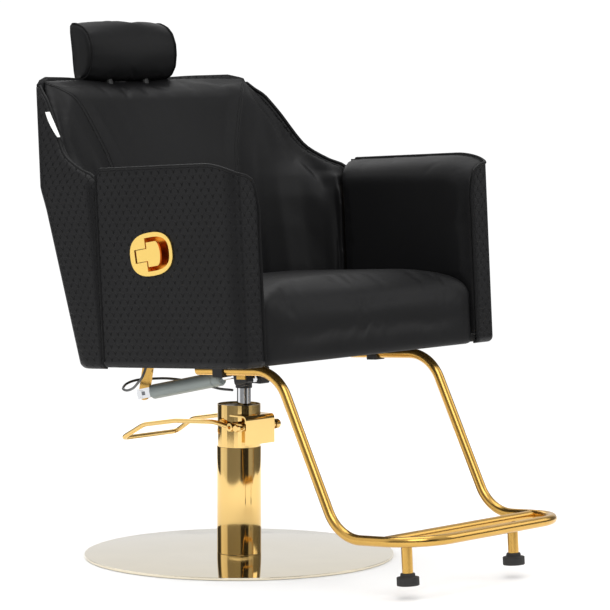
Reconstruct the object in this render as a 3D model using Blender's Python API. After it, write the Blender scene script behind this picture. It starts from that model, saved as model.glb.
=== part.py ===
"""Hydraulic barber chair: disc base, foot pump, swivelling upholstered seat, reclining back,
sliding headrest and a bent-tube footrest.  Metres, +Z up, sitter faces -Y, +X is the sitter's left.
The origin is the middle of the base's underside, on the floor."""
import math

import bmesh
import bpy
from mathutils import Matrix, Vector

GAP = 0.0003                    # between pieces that touch

# Base and pump
BASE_RADIUS = 0.300
BASE_SHEET = 0.0010
BASE_CORE_THICKNESS = 0.0042
SLEEVE_RADIUS = 0.0430
SLEEVE_WALL = 0.0013
SLEEVE_TOP = 0.2138
HEAD_RADIUS = 0.0420
HEAD_WALL = 0.0013
HEAD_TOP = 0.2960
FLANGE_THICKNESS = 0.0080
RESERVOIR_RADIUS = 0.0360
RESERVOIR_WALL = 0.0020
BARREL_WALL = 0.0040
BARREL_CLEARANCE = 0.0016       # between the rod and the barrel's bore
BARREL_SIDE_GAP = 0.0018        # between the barrel and the reservoir tube in front of it
BARREL_TOP = 0.2380
BASE_BOLT_CIRCLE = 0.0320
BASE_BOLT_RADIUS = 0.0040
ROD_RADIUS = 0.0136
BARREL_RADIUS = ROD_RADIUS + BARREL_CLEARANCE + BARREL_WALL
# The rod stands forward of the pump's middle
ROD_OFFSET = BARREL_RADIUS + BARREL_SIDE_GAP + RESERVOIR_WALL - RESERVOIR_RADIUS
ROD_BOTTOM = 0.0600
ROD_TOP = 0.3695
PISTON_HEIGHT = 0.0200

# Foot pedal
PEDAL_Y = -0.0478
PEDAL_Z = 0.2560
PEDAL_AXLE_RADIUS = 0.0042
PEDAL_WIRE_RADIUS = 0.0047
PEDAL_EYE_Y = 0.0270
PEDAL_LEG = [                   # one leg's corners about the pivot, from its eye to the toe bar
    (0.0500, 0.0280, 0.0010), (0.0550, 0.0630, 0.0080), (0.0620, 0.1600, 0.0030),
    (0.0700, 0.2375, -0.0100), (0.0765, 0.2920, -0.0410),
]
PEDAL_BENDS = [0.080, 0.100, 0.050, 0.011]
PEDAL_EYE_RADIUS = 0.0082
PEDAL_AXLE_HALF = 0.0545
BRACKET_HALF_WIDTH = 0.0405
BRACKET_SHEET = 0.0028
BRACKET_FRONT = -0.0562
BRACKET_TOP = 0.2780
BRACKET_BOTTOM = 0.2220
BRACKET_BEND = 0.0085
PLUNGER_X = BARREL_RADIUS + 0.0028
PLUNGER_Y = -0.0270
PLUNGER_RADIUS = 0.0044
PLUNGER_TOP = 0.2522
PLUNGER_LENGTH = 0.0200
SPRING_WIRE = 0.0008

# Seat assembly, in its own frame: pitched back about X
SEAT_HEIGHT = 0.3900
SEAT_TILT = math.radians(3.4)
BOARD_BOTTOM = 0.0035
BOARD_THICKNESS = 0.0150
PLATE_THICKNESS = 0.0050
PLATE_HALF = 0.0900
ARM_INNER_X = 0.3025
ARM_OUTER_X = 0.3615
ARM_SKIN = 0.0045
ARM_FRONT = -0.3500
ARM_CORNER = 0.0160
ARM_TOP = 0.3690
ARM_INNER_TOP = 0.3240
ARM_BOTTOM = 0.0030
ARM_PAD_THICKNESS = 0.0245
CUSHION_FRONT = -0.3460
CUSHION_SIDE_GAP = 0.0045
CUSHION_REAR = 0.0560
CUSHION_HEIGHT = 0.1500
CROWN_FRONT_SHARE = 0.5         # the crown falls off this much sooner at the front than at the sides

# Reclining back, in the seat frame
HINGE_Y = 0.0560
HINGE_Z = 0.0020
HINGE_TUBE_RADIUS = 0.0080
HINGE_TUBE_HALF = 0.2050
BACK_TOP = 0.5480
BACK_LEAN = 0.2500
DRAWN_TOP = 0.5480              # the back's height in the outlines below
WING_START = 0.3370             # the back stretches above this to reach BACK_TOP
BACK_SKIN = 0.0120
BACK_BULGE = 0.0660
PAD_BOTTOM = 0.0125
LEVER_X = -0.1900
LEVER_THICKNESS = 0.0050
LEVER_RADIUS = 0.0125
LEVER_PIN_PLAY = 0.0024

# Gas spring, between the seat and the lever's lower end, as world Y and Z
SPRING_FRONT = (-0.1950, 0.3830)
SPRING_REAR = (0.0692, 0.3260)
SPRING_BODY_RADIUS = 0.0140
SPRING_ROD_RADIUS = 0.0050
SPRING_BODY_WALL = 0.0022
SPRING_EXPOSED_ROD = 0.0365
SPRING_HEAD_LENGTH = 0.0250
SPRING_HEAD_HALF = 0.0100
SPRING_CLEVIS = 0.0240
SPRING_PIN_RADIUS = 0.0040
PISTON_DISC_START = 0.1880
PISTON_DISC_END = 0.1980
RELEASE_PIVOT = (0.0040, -0.0140)
RELEASE_PIN_RADIUS = 0.0012
RELEASE_REACH = 0.0180

# Headrest
HEADREST_HALF = 0.1230
HEADREST_ENDS = [(-HEADREST_HALF, 0.90), (-HEADREST_HALF + 0.006, 1.0), (HEADREST_HALF - 0.006, 1.0),
                 (HEADREST_HALF, 0.90)]
POST_X = 0.0500
POST_RADIUS = 0.0050
POST_LENGTH = 0.1500
POST_BURY = 0.0300              # how far a post goes up into the headrest
POST_LEAN = math.atan(BACK_LEAN)
POST_SETBACK = 0.1355
POST_Y = POST_SETBACK + BACK_LEAN * BACK_TOP
GUIDE_RADIUS = 0.0076
GUIDE_LENGTH = 0.1000

# Recline handle, in the left-hand picture of the right arm
HANDLE_Y = -0.1360
HANDLE_Z = 0.2120
HANDLE_TURN = math.radians(6.6)
BEZEL_LENGTH = 0.1080
BEZEL_HEIGHT = 0.0790
BEZEL_THICKNESS = 0.0030
CUP_DEPTH = 0.0175
CUP_POCKET = 0.0140
FLAP_PIN_X = 0.0050
FLAP_PIN_Y = 0.0300
FLAP_TAIL_SWING = 0.0120
FLAP_PAD_REAR = -0.0200
FLAP_PAD_FRONT = -0.0430
FLAP_PAD_HALF = 0.0225

# Footrest
FOOTREST_X = 0.2180
TUBE_RADIUS = 0.0095
TUBE_WALL = 0.0015
TUBE_START_Y = -0.1000
TUBE_TOP_Z = -0.0105
TUBE_UPPER_Y = -0.2990
TUBE_LOWER_Y = -0.4316
TUBE_LOW_Z = -0.3120
TUBE_FRONT_Y = -0.6226
TUBE_UPPER_BEND = 0.0780
TUBE_LOWER_BEND = 0.0800
LOOP_CORNER = 0.0870
CROSSBAR_Y = -0.5350
CROSSBAR_RADIUS = 0.0088
LEG_X = 0.1527
LEG_RADIUS = 0.0100
FOOT_RADIUS = 0.0205
FOOT_BOTTOM = -0.3984
FOOT_HEIGHT = 0.0155
CLAMP_HALF = 0.0125              # clears the gas spring beside it

MATERIALS = {
    "gold": ((0.72, 0.50, 0.22), 0.12, 1.0),
    "satin_gold": ((0.70, 0.45, 0.13), 0.28, 1.0),
    "bright_gold": ((0.95, 0.66, 0.22), 0.22, 1.0),
    "chrome": ((0.80, 0.81, 0.82), 0.08, 1.0),
    "steel": ((0.45, 0.46, 0.47), 0.40, 1.0),
    "black_steel": ((0.02, 0.02, 0.02), 0.45, 0.4),
    "grey_paint": ((0.42, 0.46, 0.44), 0.40, 0.2),
    "black_leather": ((0.018, 0.018, 0.020), 0.42, 0.0),
    "woven_leather": ((0.015, 0.015, 0.017), 0.55, 0.0),
    "rubber": ((0.02, 0.02, 0.02), 0.75, 0.0),
    "black_plastic": ((0.02, 0.02, 0.02), 0.40, 0.0),
    "wood": ((0.45, 0.30, 0.16), 0.70, 0.0),
}


def clear_scene():
    for obj in list(bpy.data.objects):
        bpy.data.objects.remove(obj)


def material(name):
    if name in bpy.data.materials:
        return bpy.data.materials[name]
    colour, roughness, metallic = MATERIALS[name]
    result = bpy.data.materials.new(name)
    result.use_nodes = True
    shader = result.node_tree.nodes["Principled BSDF"]
    shader.inputs["Base Color"].default_value = (*colour, 1.0)
    shader.inputs["Roughness"].default_value = roughness
    shader.inputs["Metallic"].default_value = metallic
    return result


def empty(name, location, rotation_x=0.0, parent=None):
    obj = bpy.data.objects.new(name, None)
    obj.location = location
    obj.rotation_euler = (rotation_x, 0.0, 0.0)
    obj.parent = parent
    bpy.context.collection.objects.link(obj)
    return obj


def finish(name, bm, look, parent=None, location=(0.0, 0.0, 0.0), smooth=True):
    bmesh.ops.recalc_face_normals(bm, faces=bm.faces)
    mesh = bpy.data.meshes.new(name)
    bm.to_mesh(mesh)
    bm.free()
    if smooth:
        mesh.shade_smooth()
        mesh.set_sharp_from_angle(angle=math.radians(35))
    mesh.materials.append(material(look))
    obj = bpy.data.objects.new(name, mesh)
    obj.parent = parent
    obj.location = location
    bpy.context.collection.objects.link(obj)
    return obj


def rings_to_mesh(rings, closed=True, capped=True):
    """Skin a row of point rings, each with the same number of points."""
    bm = bmesh.new()
    rows = [[bm.verts.new(point) for point in ring] for ring in rings]
    pairs = list(zip(rows, rows[1:]))
    if not closed:
        pairs.append((rows[-1], rows[0]))
    for lower, upper in pairs:
        for i in range(len(lower)):
            j = (i + 1) % len(lower)
            bm.faces.new((lower[i], lower[j], upper[j], upper[i]))
    if closed and capped:
        bm.faces.new(reversed(rows[0]))
        bm.faces.new(rows[-1])
    return bm


def box(bm, x, y, z):
    """Add a box that spans the three (low, high) pairs."""
    size = Vector((x[1] - x[0], y[1] - y[0], z[1] - z[0]))
    middle = Vector((x[0] + x[1], y[0] + y[1], z[0] + z[1])) / 2
    matrix = Matrix.Translation(middle) @ Matrix.Diagonal((*size, 1.0))
    return bmesh.ops.create_cube(bm, size=1.0, matrix=matrix)["verts"]


def box_part(name, x, y, z, look, parent=None, bevel=0.0):
    bm = bmesh.new()
    box(bm, x, y, z)
    if bevel:
        bmesh.ops.bevel(bm, geom=bm.edges[:], offset=bevel, segments=2, profile=0.5, affect="EDGES")
    return finish(name, bm, look, parent)


AXES = {
    "Z": Matrix.Identity(4),
    "X": Matrix.Rotation(math.pi / 2, 4, "Y"),
    "Y": Matrix.Rotation(-math.pi / 2, 4, "X"),
}


def turned(profile, segments=24, centre=(0.0, 0.0, 0.0), axis="Z"):
    """Turn a closed profile of (radius, height) points that doesn't reach the axis."""
    rings = []
    for k in range(segments):
        angle = 2 * math.pi * k / segments
        rings.append([(r * math.cos(angle), r * math.sin(angle), h) for r, h in profile])
    bm = rings_to_mesh(rings, closed=False)
    bmesh.ops.transform(bm, matrix=Matrix.Translation(centre) @ AXES[axis], verts=bm.verts)
    return bm


def solid_turned(profile, segments=24, centre=(0.0, 0.0, 0.0), axis="Z"):
    """Turn an open profile of (radius, height) points, closed by a flat cap at each end."""
    rings = []
    for r, h in profile:
        angles = [2 * math.pi * k / segments for k in range(segments)]
        rings.append([(r * math.cos(a), r * math.sin(a), h) for a in angles])
    bm = rings_to_mesh(rings)
    bmesh.ops.transform(bm, matrix=Matrix.Translation(centre) @ AXES[axis], verts=bm.verts)
    return bm


def rod(radius, low, high, centre=(0.0, 0.0, 0.0), axis="Z", segments=20):
    return solid_turned([(radius, low), (radius, high)], segments, centre, axis)


def ring(inner, outer, low, high, centre=(0.0, 0.0, 0.0), axis="Z", segments=24):
    return turned([(inner, low), (outer, low), (outer, high), (inner, high)], segments, centre, axis)


def prism(outline, low, high, axis="Z"):
    """Extrude a flat outline; for X its points are (y, z), for Y (x, z), for Z (x, y)."""
    place = {
        "X": lambda a, b, c: (c, a, b),
        "Y": lambda a, b, c: (a, c, b),
        "Z": lambda a, b, c: (a, b, c),
    }[axis]
    return rings_to_mesh([[place(a, b, c) for a, b in outline] for c in (low, high)])


def arc(centre, radius, start, end, steps):
    """Points on an arc; radius may be one number or an (a, b) pair for an ellipse."""
    a, b = radius if isinstance(radius, tuple) else (radius, radius)
    points = []
    for k in range(steps + 1):
        angle = math.radians(start + (end - start) * k / steps)
        points.append((centre[0] + a * math.cos(angle), centre[1] + b * math.sin(angle)))
    return points


def superellipse(a, b, power, steps):
    points = []
    for k in range(steps):
        angle = 2 * math.pi * k / steps
        c, s = math.cos(angle), math.sin(angle)
        x = math.copysign(abs(c) ** (2 / power), c) * a
        y = math.copysign(abs(s) ** (2 / power), s) * b
        points.append((x, y))
    return points


def cutter(name, bm, parent=None):
    obj = finish(name, bm, "steel", parent, smooth=False)
    obj.hide_render = True
    obj.display_type = "WIRE"
    return obj


def combine(obj, tool, operation):
    modifier = obj.modifiers.new(operation.title(), "BOOLEAN")
    modifier.operation = operation
    modifier.solver = "EXACT"
    modifier.object = tool


def cut(obj, bm):
    number = len(obj.modifiers) + 1
    combine(obj, cutter(f"{obj.name}_cutter_{number}", bm, obj.parent), "DIFFERENCE")


def join(obj, bm):
    number = len(obj.modifiers) + 1
    combine(obj, cutter(f"{obj.name}_piece_{number}", bm, obj.parent), "UNION")


def filleted(points, radii, steps):
    """Round each inner corner of a 3-D polyline with an arc of its radius."""
    corners = [Vector(p) for p in points]
    path = [corners[0]]
    for before, corner, after, radius in zip(corners, corners[1:], corners[2:], radii):
        to_before = (before - corner).normalized()
        to_after = (after - corner).normalized()
        half = to_before.angle(to_after) / 2
        reach = radius / math.tan(half)
        centre = corner + (to_before + to_after).normalized() * (radius / math.sin(half))
        first = corner + to_before * reach - centre
        last = corner + to_after * reach - centre
        sweep = first.angle(last)
        for k in range(steps + 1):
            t = k / steps
            blend = (first * math.sin((1 - t) * sweep) + last * math.sin(t * sweep)) / math.sin(sweep)
            path.append(centre + blend)
    path.append(corners[-1])
    return path


def tube_rings(path, radius, sides):
    """Circles of points square to a path, without twist."""
    rings = []
    side = None
    for k, point in enumerate(path):
        ahead = path[min(k + 1, len(path) - 1)] - point
        behind = point - path[max(k - 1, 0)]
        tangent = (ahead.normalized() + behind.normalized()).normalized()
        if side is None:
            side = tangent.orthogonal().normalized()
        side = (side - tangent * side.dot(tangent)).normalized()
        up = tangent.cross(side)
        angles = [2 * math.pi * i / sides for i in range(sides)]
        rings.append([point + (side * math.cos(a) + up * math.sin(a)) * radius for a in angles])
    return rings


def swept(path, radius, sides=12):
    return rings_to_mesh(tube_rings(path, radius, sides))


def swept_pipe(path, radius, wall, sides=12):
    """A pipe with both ends open."""
    outer = tube_rings(path, radius, sides)
    inner = tube_rings(path, radius - wall, sides)
    return rings_to_mesh(outer + inner[::-1], closed=False)


def table(value, rows):
    """Straight-line reading of a short table of (position, value) rows."""
    if value <= rows[0][0]:
        return rows[0][1]
    for (a, va), (b, vb) in zip(rows, rows[1:]):
        if value <= b:
            return va + (vb - va) * (value - a) / (b - a)
    return rows[-1][1]


def smooth_table(value, rows):
    """Smooth reading of a short table, with each row's slope taken from its two neighbours."""
    last = len(rows) - 1
    value = min(max(value, rows[0][0]), rows[-1][0])
    k = next(i for i in range(last) if value <= rows[i + 1][0])
    slopes = []
    for i in (k, k + 1):
        before, after = rows[max(i - 1, 0)], rows[min(i + 1, last)]
        slopes.append((after[1] - before[1]) / (after[0] - before[0]))
    (a, low), (b, high) = rows[k], rows[k + 1]
    span = b - a
    t = (value - a) / span
    ease = t * t * (3 - 2 * t)
    bend = slopes[0] * t * (1 - t) ** 2 - slopes[1] * t * t * (1 - t)
    return low + (high - low) * ease + bend * span


# ---------------------------------------------------------------- base and pump

COVER_TOP = BASE_CORE_THICKNESS + GAP + BASE_SHEET
FLANGE_BOTTOM = COVER_TOP + GAP
FLANGE_TOP = FLANGE_BOTTOM + FLANGE_THICKNESS
HEAD_BOTTOM = SLEEVE_TOP + GAP
HEAD_BORE = HEAD_RADIUS - HEAD_WALL - GAP


def bolt_places():
    return [(math.cos(math.radians(a)), math.sin(math.radians(a))) for a in (45, 135, 225, 315)]


def make_base():
    lip = BASE_RADIUS - BASE_SHEET
    plate = finish("base_plate", rod(lip - GAP * 2, 0.0, BASE_CORE_THICKNESS, segments=48), "steel")
    profile = [(lip, 0.0008), (BASE_RADIUS, 0.0008), (BASE_RADIUS, COVER_TOP - 0.0006)]
    profile += [(BASE_RADIUS - 0.0006, COVER_TOP), (0.0020, COVER_TOP)]
    profile += [(0.0020, COVER_TOP - BASE_SHEET), (lip, COVER_TOP - BASE_SHEET)]
    cover = finish("base_cover", turned(profile, 56), "gold")
    flange = ring(BARREL_RADIUS * 0.5, SLEEVE_RADIUS - SLEEVE_WALL - GAP, FLANGE_BOTTOM, FLANGE_TOP)
    flange = finish("pump_foot_flange", flange, "steel")
    for number, (c, s) in enumerate(bolt_places(), 1):
        place = (BASE_BOLT_CIRCLE * c, BASE_BOLT_CIRCLE * s, 0.0)
        hole = BASE_BOLT_RADIUS + GAP
        cut(plate, rod(hole, -0.01, 0.02, place, segments=12))
        cut(plate, rod(hole * 1.7, -0.01, 0.0024, place, segments=12))
        cut(cover, rod(hole, -0.01, 0.02, place, segments=12))
        cut(flange, rod(hole, 0.0, 0.02, place, segments=12))
        head = BASE_BOLT_RADIUS * 1.6
        profile = [(head, 0.0004), (head, 0.0021), (BASE_BOLT_RADIUS, 0.0021)]
        profile += [(BASE_BOLT_RADIUS, FLANGE_TOP - 0.0005)]
        finish(f"base_bolt_{number}", solid_turned(profile, 12, place), "steel")


def make_pump():
    inner = SLEEVE_RADIUS - SLEEVE_WALL
    finish("pump_sleeve", ring(inner, SLEEVE_RADIUS, COVER_TOP + GAP, SLEEVE_TOP, segments=36), "gold")
    head_inner = HEAD_RADIUS - HEAD_WALL
    sleeve = ring(head_inner, HEAD_RADIUS, HEAD_BOTTOM, HEAD_TOP, segments=36)
    sleeve = finish("pump_head_sleeve", sleeve, "gold")
    low = FLANGE_TOP + GAP
    tank = ring(RESERVOIR_RADIUS - RESERVOIR_WALL, RESERVOIR_RADIUS, low, SLEEVE_TOP - 0.004)
    finish("reservoir_tube", tank, "steel")
    rod_axis = (0.0, ROD_OFFSET, 0.0)
    bore = BARREL_RADIUS - BARREL_WALL
    barrel = turned([(bore, low), (BARREL_RADIUS, low), (BARREL_RADIUS, BARREL_TOP), (bore, BARREL_TOP)],
                    24, rod_axis)
    finish("cylinder_barrel", barrel, "steel")
    block = rod(HEAD_BORE, HEAD_BOTTOM, HEAD_TOP - 0.0035, segments=36)
    block = finish("pump_head_block", block, "black_steel")
    cut(block, rod(BARREL_RADIUS + GAP, 0.20, BARREL_TOP + GAP, rod_axis))
    cut(block, rod(ROD_RADIUS + GAP * 2, 0.20, 0.32, rod_axis))
    cut(block, rod(ROD_RADIUS + 0.0052, HEAD_TOP - 0.0120, 0.32, rod_axis))
    window_x = (PLUNGER_X - 0.0095, PLUNGER_X + 0.0095)
    window_z = (PEDAL_Z - 0.0160, PEDAL_Z + 0.0065)
    opening = bmesh.new()
    box(opening, window_x, (-0.060, PLUNGER_Y + PLUNGER_RADIUS + 0.0014), window_z)
    cut(block, opening.copy())
    cut(sleeve, opening)
    well = PLUNGER_TOP - PLUNGER_LENGTH - 0.0125
    plunger_axis = (PLUNGER_X, PLUNGER_Y, 0.0)
    cut(block, rod(PLUNGER_RADIUS + GAP, well, PEDAL_Z, plunger_axis, segments=16))
    seal = ring(ROD_RADIUS + GAP, ROD_RADIUS + 0.0048, HEAD_TOP - 0.0117, HEAD_TOP - 0.0015, rod_axis)
    finish("rod_wiper_seal", seal, "rubber")
    return well


def make_bracket():
    """Bent strip with open ends, shaped to the pump head behind it."""
    front, top, sheet = BRACKET_FRONT, BRACKET_TOP, BRACKET_SHEET
    middle = (front + BRACKET_BEND, top - BRACKET_BEND)
    outline = [(-0.012, top)]
    outline += arc(middle, BRACKET_BEND, 90, 180, 6)
    outline += [(front, BRACKET_BOTTOM), (front + sheet, BRACKET_BOTTOM)]
    outline += arc(middle, BRACKET_BEND - sheet, 180, 90, 6)
    outline += [(-0.012, top - sheet)]
    bracket = prism(outline, -BRACKET_HALF_WIDTH, BRACKET_HALF_WIDTH, "X")
    bracket = finish("pedal_bracket", bracket, "gold")
    cut(bracket, rod(HEAD_RADIUS + GAP * 2, 0.20, 0.30, segments=36))


def pedal_eye(loop, side):
    """A flat ear on the axle and a ring that holds the end of the wire."""
    start_x, start_y = PEDAL_LEG[0][0], PEDAL_EYE_Y - 0.0040
    eye = (side * start_x, start_y, 0.0)
    join(loop, ring(0.0036, PEDAL_EYE_RADIUS, -0.0040, 0.0040, eye, "X", 16))
    span = sorted((side * (BRACKET_HALF_WIDTH + 0.0008), side * (start_x - 0.0036)))
    ear_radius = PEDAL_EYE_RADIUS - 0.0007
    outline = arc((start_y, 0.0), ear_radius, -90, 90, 6)
    outline += arc((0.0, 0.0), ear_radius, 90, 270, 6)
    join(loop, prism(outline, *span, "X"))


def make_pedal(pivot):
    axle = rod(PEDAL_AXLE_RADIUS, -PEDAL_AXLE_HALF, PEDAL_AXLE_HALF, axis="X", segments=16)
    axle = finish("pedal_axle", axle, "gold", pivot)
    finger = bmesh.new()
    box(finger, (PLUNGER_X - 0.0055, PLUNGER_X + 0.0055), (0.0, 0.0245), (-0.0035, 0.0030))
    join(axle, finger)
    join(axle, rod(0.0066, -0.0615, -0.0542, axis="X", segments=6))
    knob = [(0.0090, 0.0475), (0.0098, 0.0495), (0.0098, 0.0570), (0.0075, 0.0605), (0.0035, 0.0620)]
    join(axle, solid_turned(knob, 16, axis="X"))
    near = [(-x, y, z) for x, y, z in PEDAL_LEG]
    route = near + PEDAL_LEG[::-1]
    bends = PEDAL_BENDS + PEDAL_BENDS[::-1]
    loop = swept(filleted(route, bends, 4), PEDAL_WIRE_RADIUS, 10)
    loop = finish("pedal_loop", loop, "gold", pivot)
    for side in (-1, 1):
        pedal_eye(loop, side)
    cut(loop, rod(PEDAL_AXLE_RADIUS + GAP, -0.07, 0.07, axis="X", segments=16))


def make_plunger(well):
    axis = (PLUNGER_X, PLUNGER_Y, 0.0)
    low = PLUNGER_TOP - PLUNGER_LENGTH
    finish("pump_plunger", rod(PLUNGER_RADIUS, low, PLUNGER_TOP, axis, segments=16), "steel")
    turns = 4
    steps = 8
    bottom = well + SPRING_WIRE + GAP
    top = low - SPRING_WIRE - GAP
    radius = PLUNGER_RADIUS - SPRING_WIRE - GAP
    path = []
    for k in range(turns * steps + 1):
        angle = 2 * math.pi * k / steps
        height = bottom + (top - bottom) * k / (turns * steps)
        path.append(Vector((axis[0] + radius * math.cos(angle), axis[1] + radius * math.sin(angle), height)))
    finish("plunger_spring", swept(path, SPRING_WIRE, 4), "steel")


def make_piston():
    axis = (0.0, ROD_OFFSET, 0.0)
    finish("piston_rod", rod(ROD_RADIUS, ROD_BOTTOM, ROD_TOP, axis, segments=32), "chrome")
    bore = BARREL_RADIUS - BARREL_WALL - GAP
    top = ROD_BOTTOM - GAP
    finish("piston_head", rod(bore, top - PISTON_HEIGHT, top, axis), "steel")


# ---------------------------------------------------------------- seat

def make_socket(lift):
    neck, collar = ROD_RADIUS + 0.0024, ROD_RADIUS + 0.0054
    profile = [(ROD_RADIUS + GAP, 0.3280), (neck, 0.3280), (neck, 0.3372), (collar, 0.3390)]
    profile += [(collar, 0.3560), (0.0330, 0.3790), (0.0330, 0.3862), (0.0040, 0.3862)]
    profile += [(0.0040, ROD_TOP + GAP), (ROD_RADIUS + GAP, ROD_TOP + GAP)]
    socket = finish("seat_socket", turned(profile, 24), "black_steel", lift)
    lug = bmesh.new()
    box(lug, (-0.0140, 0.0140), (-0.0560, -0.0165), (0.3400, 0.3720))
    bmesh.ops.bevel(lug, geom=lug.edges[:], offset=0.002, segments=1, profile=0.5, affect="EDGES")
    join(socket, lug)
    screw_axis = (0.0, -0.0450, 0.3500)
    cut(socket, rod(0.0043, -0.05, 0.05, screw_axis, "X", 12))
    screw = solid_turned([(0.0070, -0.0195), (0.0070, -0.0143), (0.0040, -0.0143), (0.0040, 0.0185)],
                         12, screw_axis, "X")
    finish("socket_clamp_screw", screw, "chrome", lift)


def cushion_outline(inset, rear=CUSHION_REAR):
    """Seat plan: straight sides between the arms, quarter ellipses at the rear."""
    side = ARM_INNER_X - CUSHION_SIDE_GAP - inset
    depth = inset * CROWN_FRONT_SHARE
    front = CUSHION_FRONT + depth
    corner = 0.012
    right = [(side - corner, front)] + arc((side - corner, front + corner), corner, -60, 0, 2)
    right += arc((0.140, -0.030), (side - 0.140, rear - depth + 0.030), 0, 90, 7)
    left = [(-x, y) for x, y in reversed(right)]
    return right + left


def make_cushion(seat):
    levels = [(ARM_BOTTOM, 0.0015), (ARM_BOTTOM + 0.003, 0.0)]
    crown = [(0.044, 0.0), (0.030, 0.010), (0.018, 0.034), (0.009, 0.068), (0.003, 0.105), (0.0, 0.140)]
    levels += [(CUSHION_HEIGHT - drop, inset) for drop, inset in crown]
    rings = [[(x, y, z) for x, y in cushion_outline(inset)] for z, inset in levels]
    cushion = finish("seat_cushion", rings_to_mesh(rings), "black_leather", seat)
    clearance = GAP * 2
    top = BOARD_BOTTOM + BOARD_THICKNESS + clearance
    board = board_outline(clearance)
    cut(cushion, prism(board, -0.02, top))
    behind = bmesh.new()
    box(behind, (-0.32, 0.32), (0.010, 0.10), (-0.02, top))
    cut(cushion, behind)


def board_outline(grow=0.0):
    """Plywood base: runs under both arms, narrows behind them."""
    wide = ARM_OUTER_X - ARM_SKIN - GAP * 2 + grow
    narrow = 0.2840 + grow
    right = [(narrow, CUSHION_FRONT + 0.0100 - grow), (narrow, -0.3050 - grow), (wide, -0.3050 - grow)]
    right += [(wide, -0.0300 + grow), (narrow, -0.0300 + grow)]
    right += arc((0.140, -0.030), (narrow - 0.140, 0.068 + grow), 18, 90, 5)
    left = [(-x, y) for x, y in reversed(right)]
    return right + left


def make_seat_frame(seat):
    top = BOARD_BOTTOM + BOARD_THICKNESS
    board = finish("seat_board", prism(board_outline(), BOARD_BOTTOM, top), "wood", seat, smooth=False)
    cut(board, cable_slot(-0.02, 0.05))
    plate_top = BOARD_BOTTOM - GAP
    plate_bottom = plate_top - PLATE_THICKNESS
    middle = ROD_OFFSET
    rear = HINGE_Y - HINGE_TUBE_RADIUS - 0.0010
    box_part("mounting_plate", (-PLATE_HALF, PLATE_HALF), (middle - PLATE_HALF, rear),
             (plate_bottom, plate_top), "black_steel", seat)
    for side, label in ((1, "left"), (-1, "right")):
        span = sorted((side * 0.160, side * 0.184))
        bar = bmesh.new()
        box(bar, span, (-0.140, HINGE_Y - 0.010), (plate_top - 0.0046, plate_top))
        bar = finish(f"hinge_bar_{label}", bar, "satin_gold", seat, smooth=False)
        centre = (side * 0.175, HINGE_Y, HINGE_Z)
        join(bar, rod(HINGE_TUBE_RADIUS + 0.0050, -0.0035, 0.0035, centre, "X", 20))
        cut(bar, rod(HINGE_TUBE_RADIUS + GAP, -0.02, 0.02, centre, "X", 24))


def cable_slot(low, high):
    bm = bmesh.new()
    box(bm, (-0.3430, -0.3300), (-0.1340, -0.0620), (low, high))
    return bm


def arm_plan(side, skin):
    """Plan of an arm inside its outer skin, or of the arm itself for a skin of zero."""
    outer = ARM_OUTER_X - skin
    front = ARM_FRONT + skin
    corner = ARM_CORNER - skin
    middle = (ARM_OUTER_X - ARM_CORNER, ARM_FRONT + ARM_CORNER)
    points = [(ARM_INNER_X, front)] + arc(middle, corner, -90, 0, 6)
    points += [(outer, 0.0030)]
    return [(side * x, y) for x, y in points]


def arm_section(outer):
    """Arm cross-section top: the inner side rolls over to the outer edge."""
    reach = outer - ARM_INNER_X
    return arc((outer, ARM_INNER_TOP), (reach, ARM_TOP - ARM_INNER_TOP), 180, 90, 7)


def make_arm(seat, side, label):
    """Wooden core, padded inner side and top, and a textured skin outside and in front."""
    skin = arm_plan(side, 0.0)
    inner = arm_plan(side, ARM_SKIN)
    outer = finish(f"arm_outer_{label}", prism(skin + inner[::-1], ARM_BOTTOM, ARM_TOP), "woven_leather", seat)
    reach = ARM_OUTER_X - 0.0110
    above = [(side * x, z) for x, z in arm_section(reach)] + [(side * reach, 0.40), (side * 0.28, 0.40)]
    above += [(side * 0.28, ARM_INNER_TOP)]
    cut(outer, prism(above, ARM_FRONT - 0.02, ARM_FRONT + ARM_SKIN + GAP / 2, "Y"))

    base = BOARD_BOTTOM + BOARD_THICKNESS + GAP
    core_in = ARM_INNER_X + ARM_PAD_THICKNESS + GAP
    core_out = ARM_OUTER_X - ARM_SKIN - GAP
    core_top = ARM_TOP - 0.0340
    core = box_part(f"arm_core_{label}", sorted((side * core_in, side * core_out)),
                    (-0.3050, -0.0060), (base, core_top), "wood", seat)

    pad_in, pad_out = ARM_INNER_X, core_out
    section = [(pad_in, base)] + arm_section(pad_out)
    section += [(pad_out, core_top + GAP), (core_in - GAP, core_top + GAP), (core_in - GAP, base)]
    section = [(side * x, z) for x, z in section]
    pad = finish(f"arm_pad_{label}", prism(section, -0.40, 0.05, "Y"), "black_leather", seat)
    fit = arm_plan(side, ARM_SKIN + GAP)[:-1]
    fit += [(side * pad_out, 0.0010), (side * ARM_INNER_X, -0.0180)]
    grow = [(x - side * 0.001 if abs(x) < ARM_INNER_X + 1e-6 else x, y) for x, y in fit]
    combine(pad, cutter(f"arm_pad_{label}_plan", prism(grow, -0.01, 0.45), seat), "INTERSECT")
    return outer, core


# ---------------------------------------------------------------- recline handle

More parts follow.
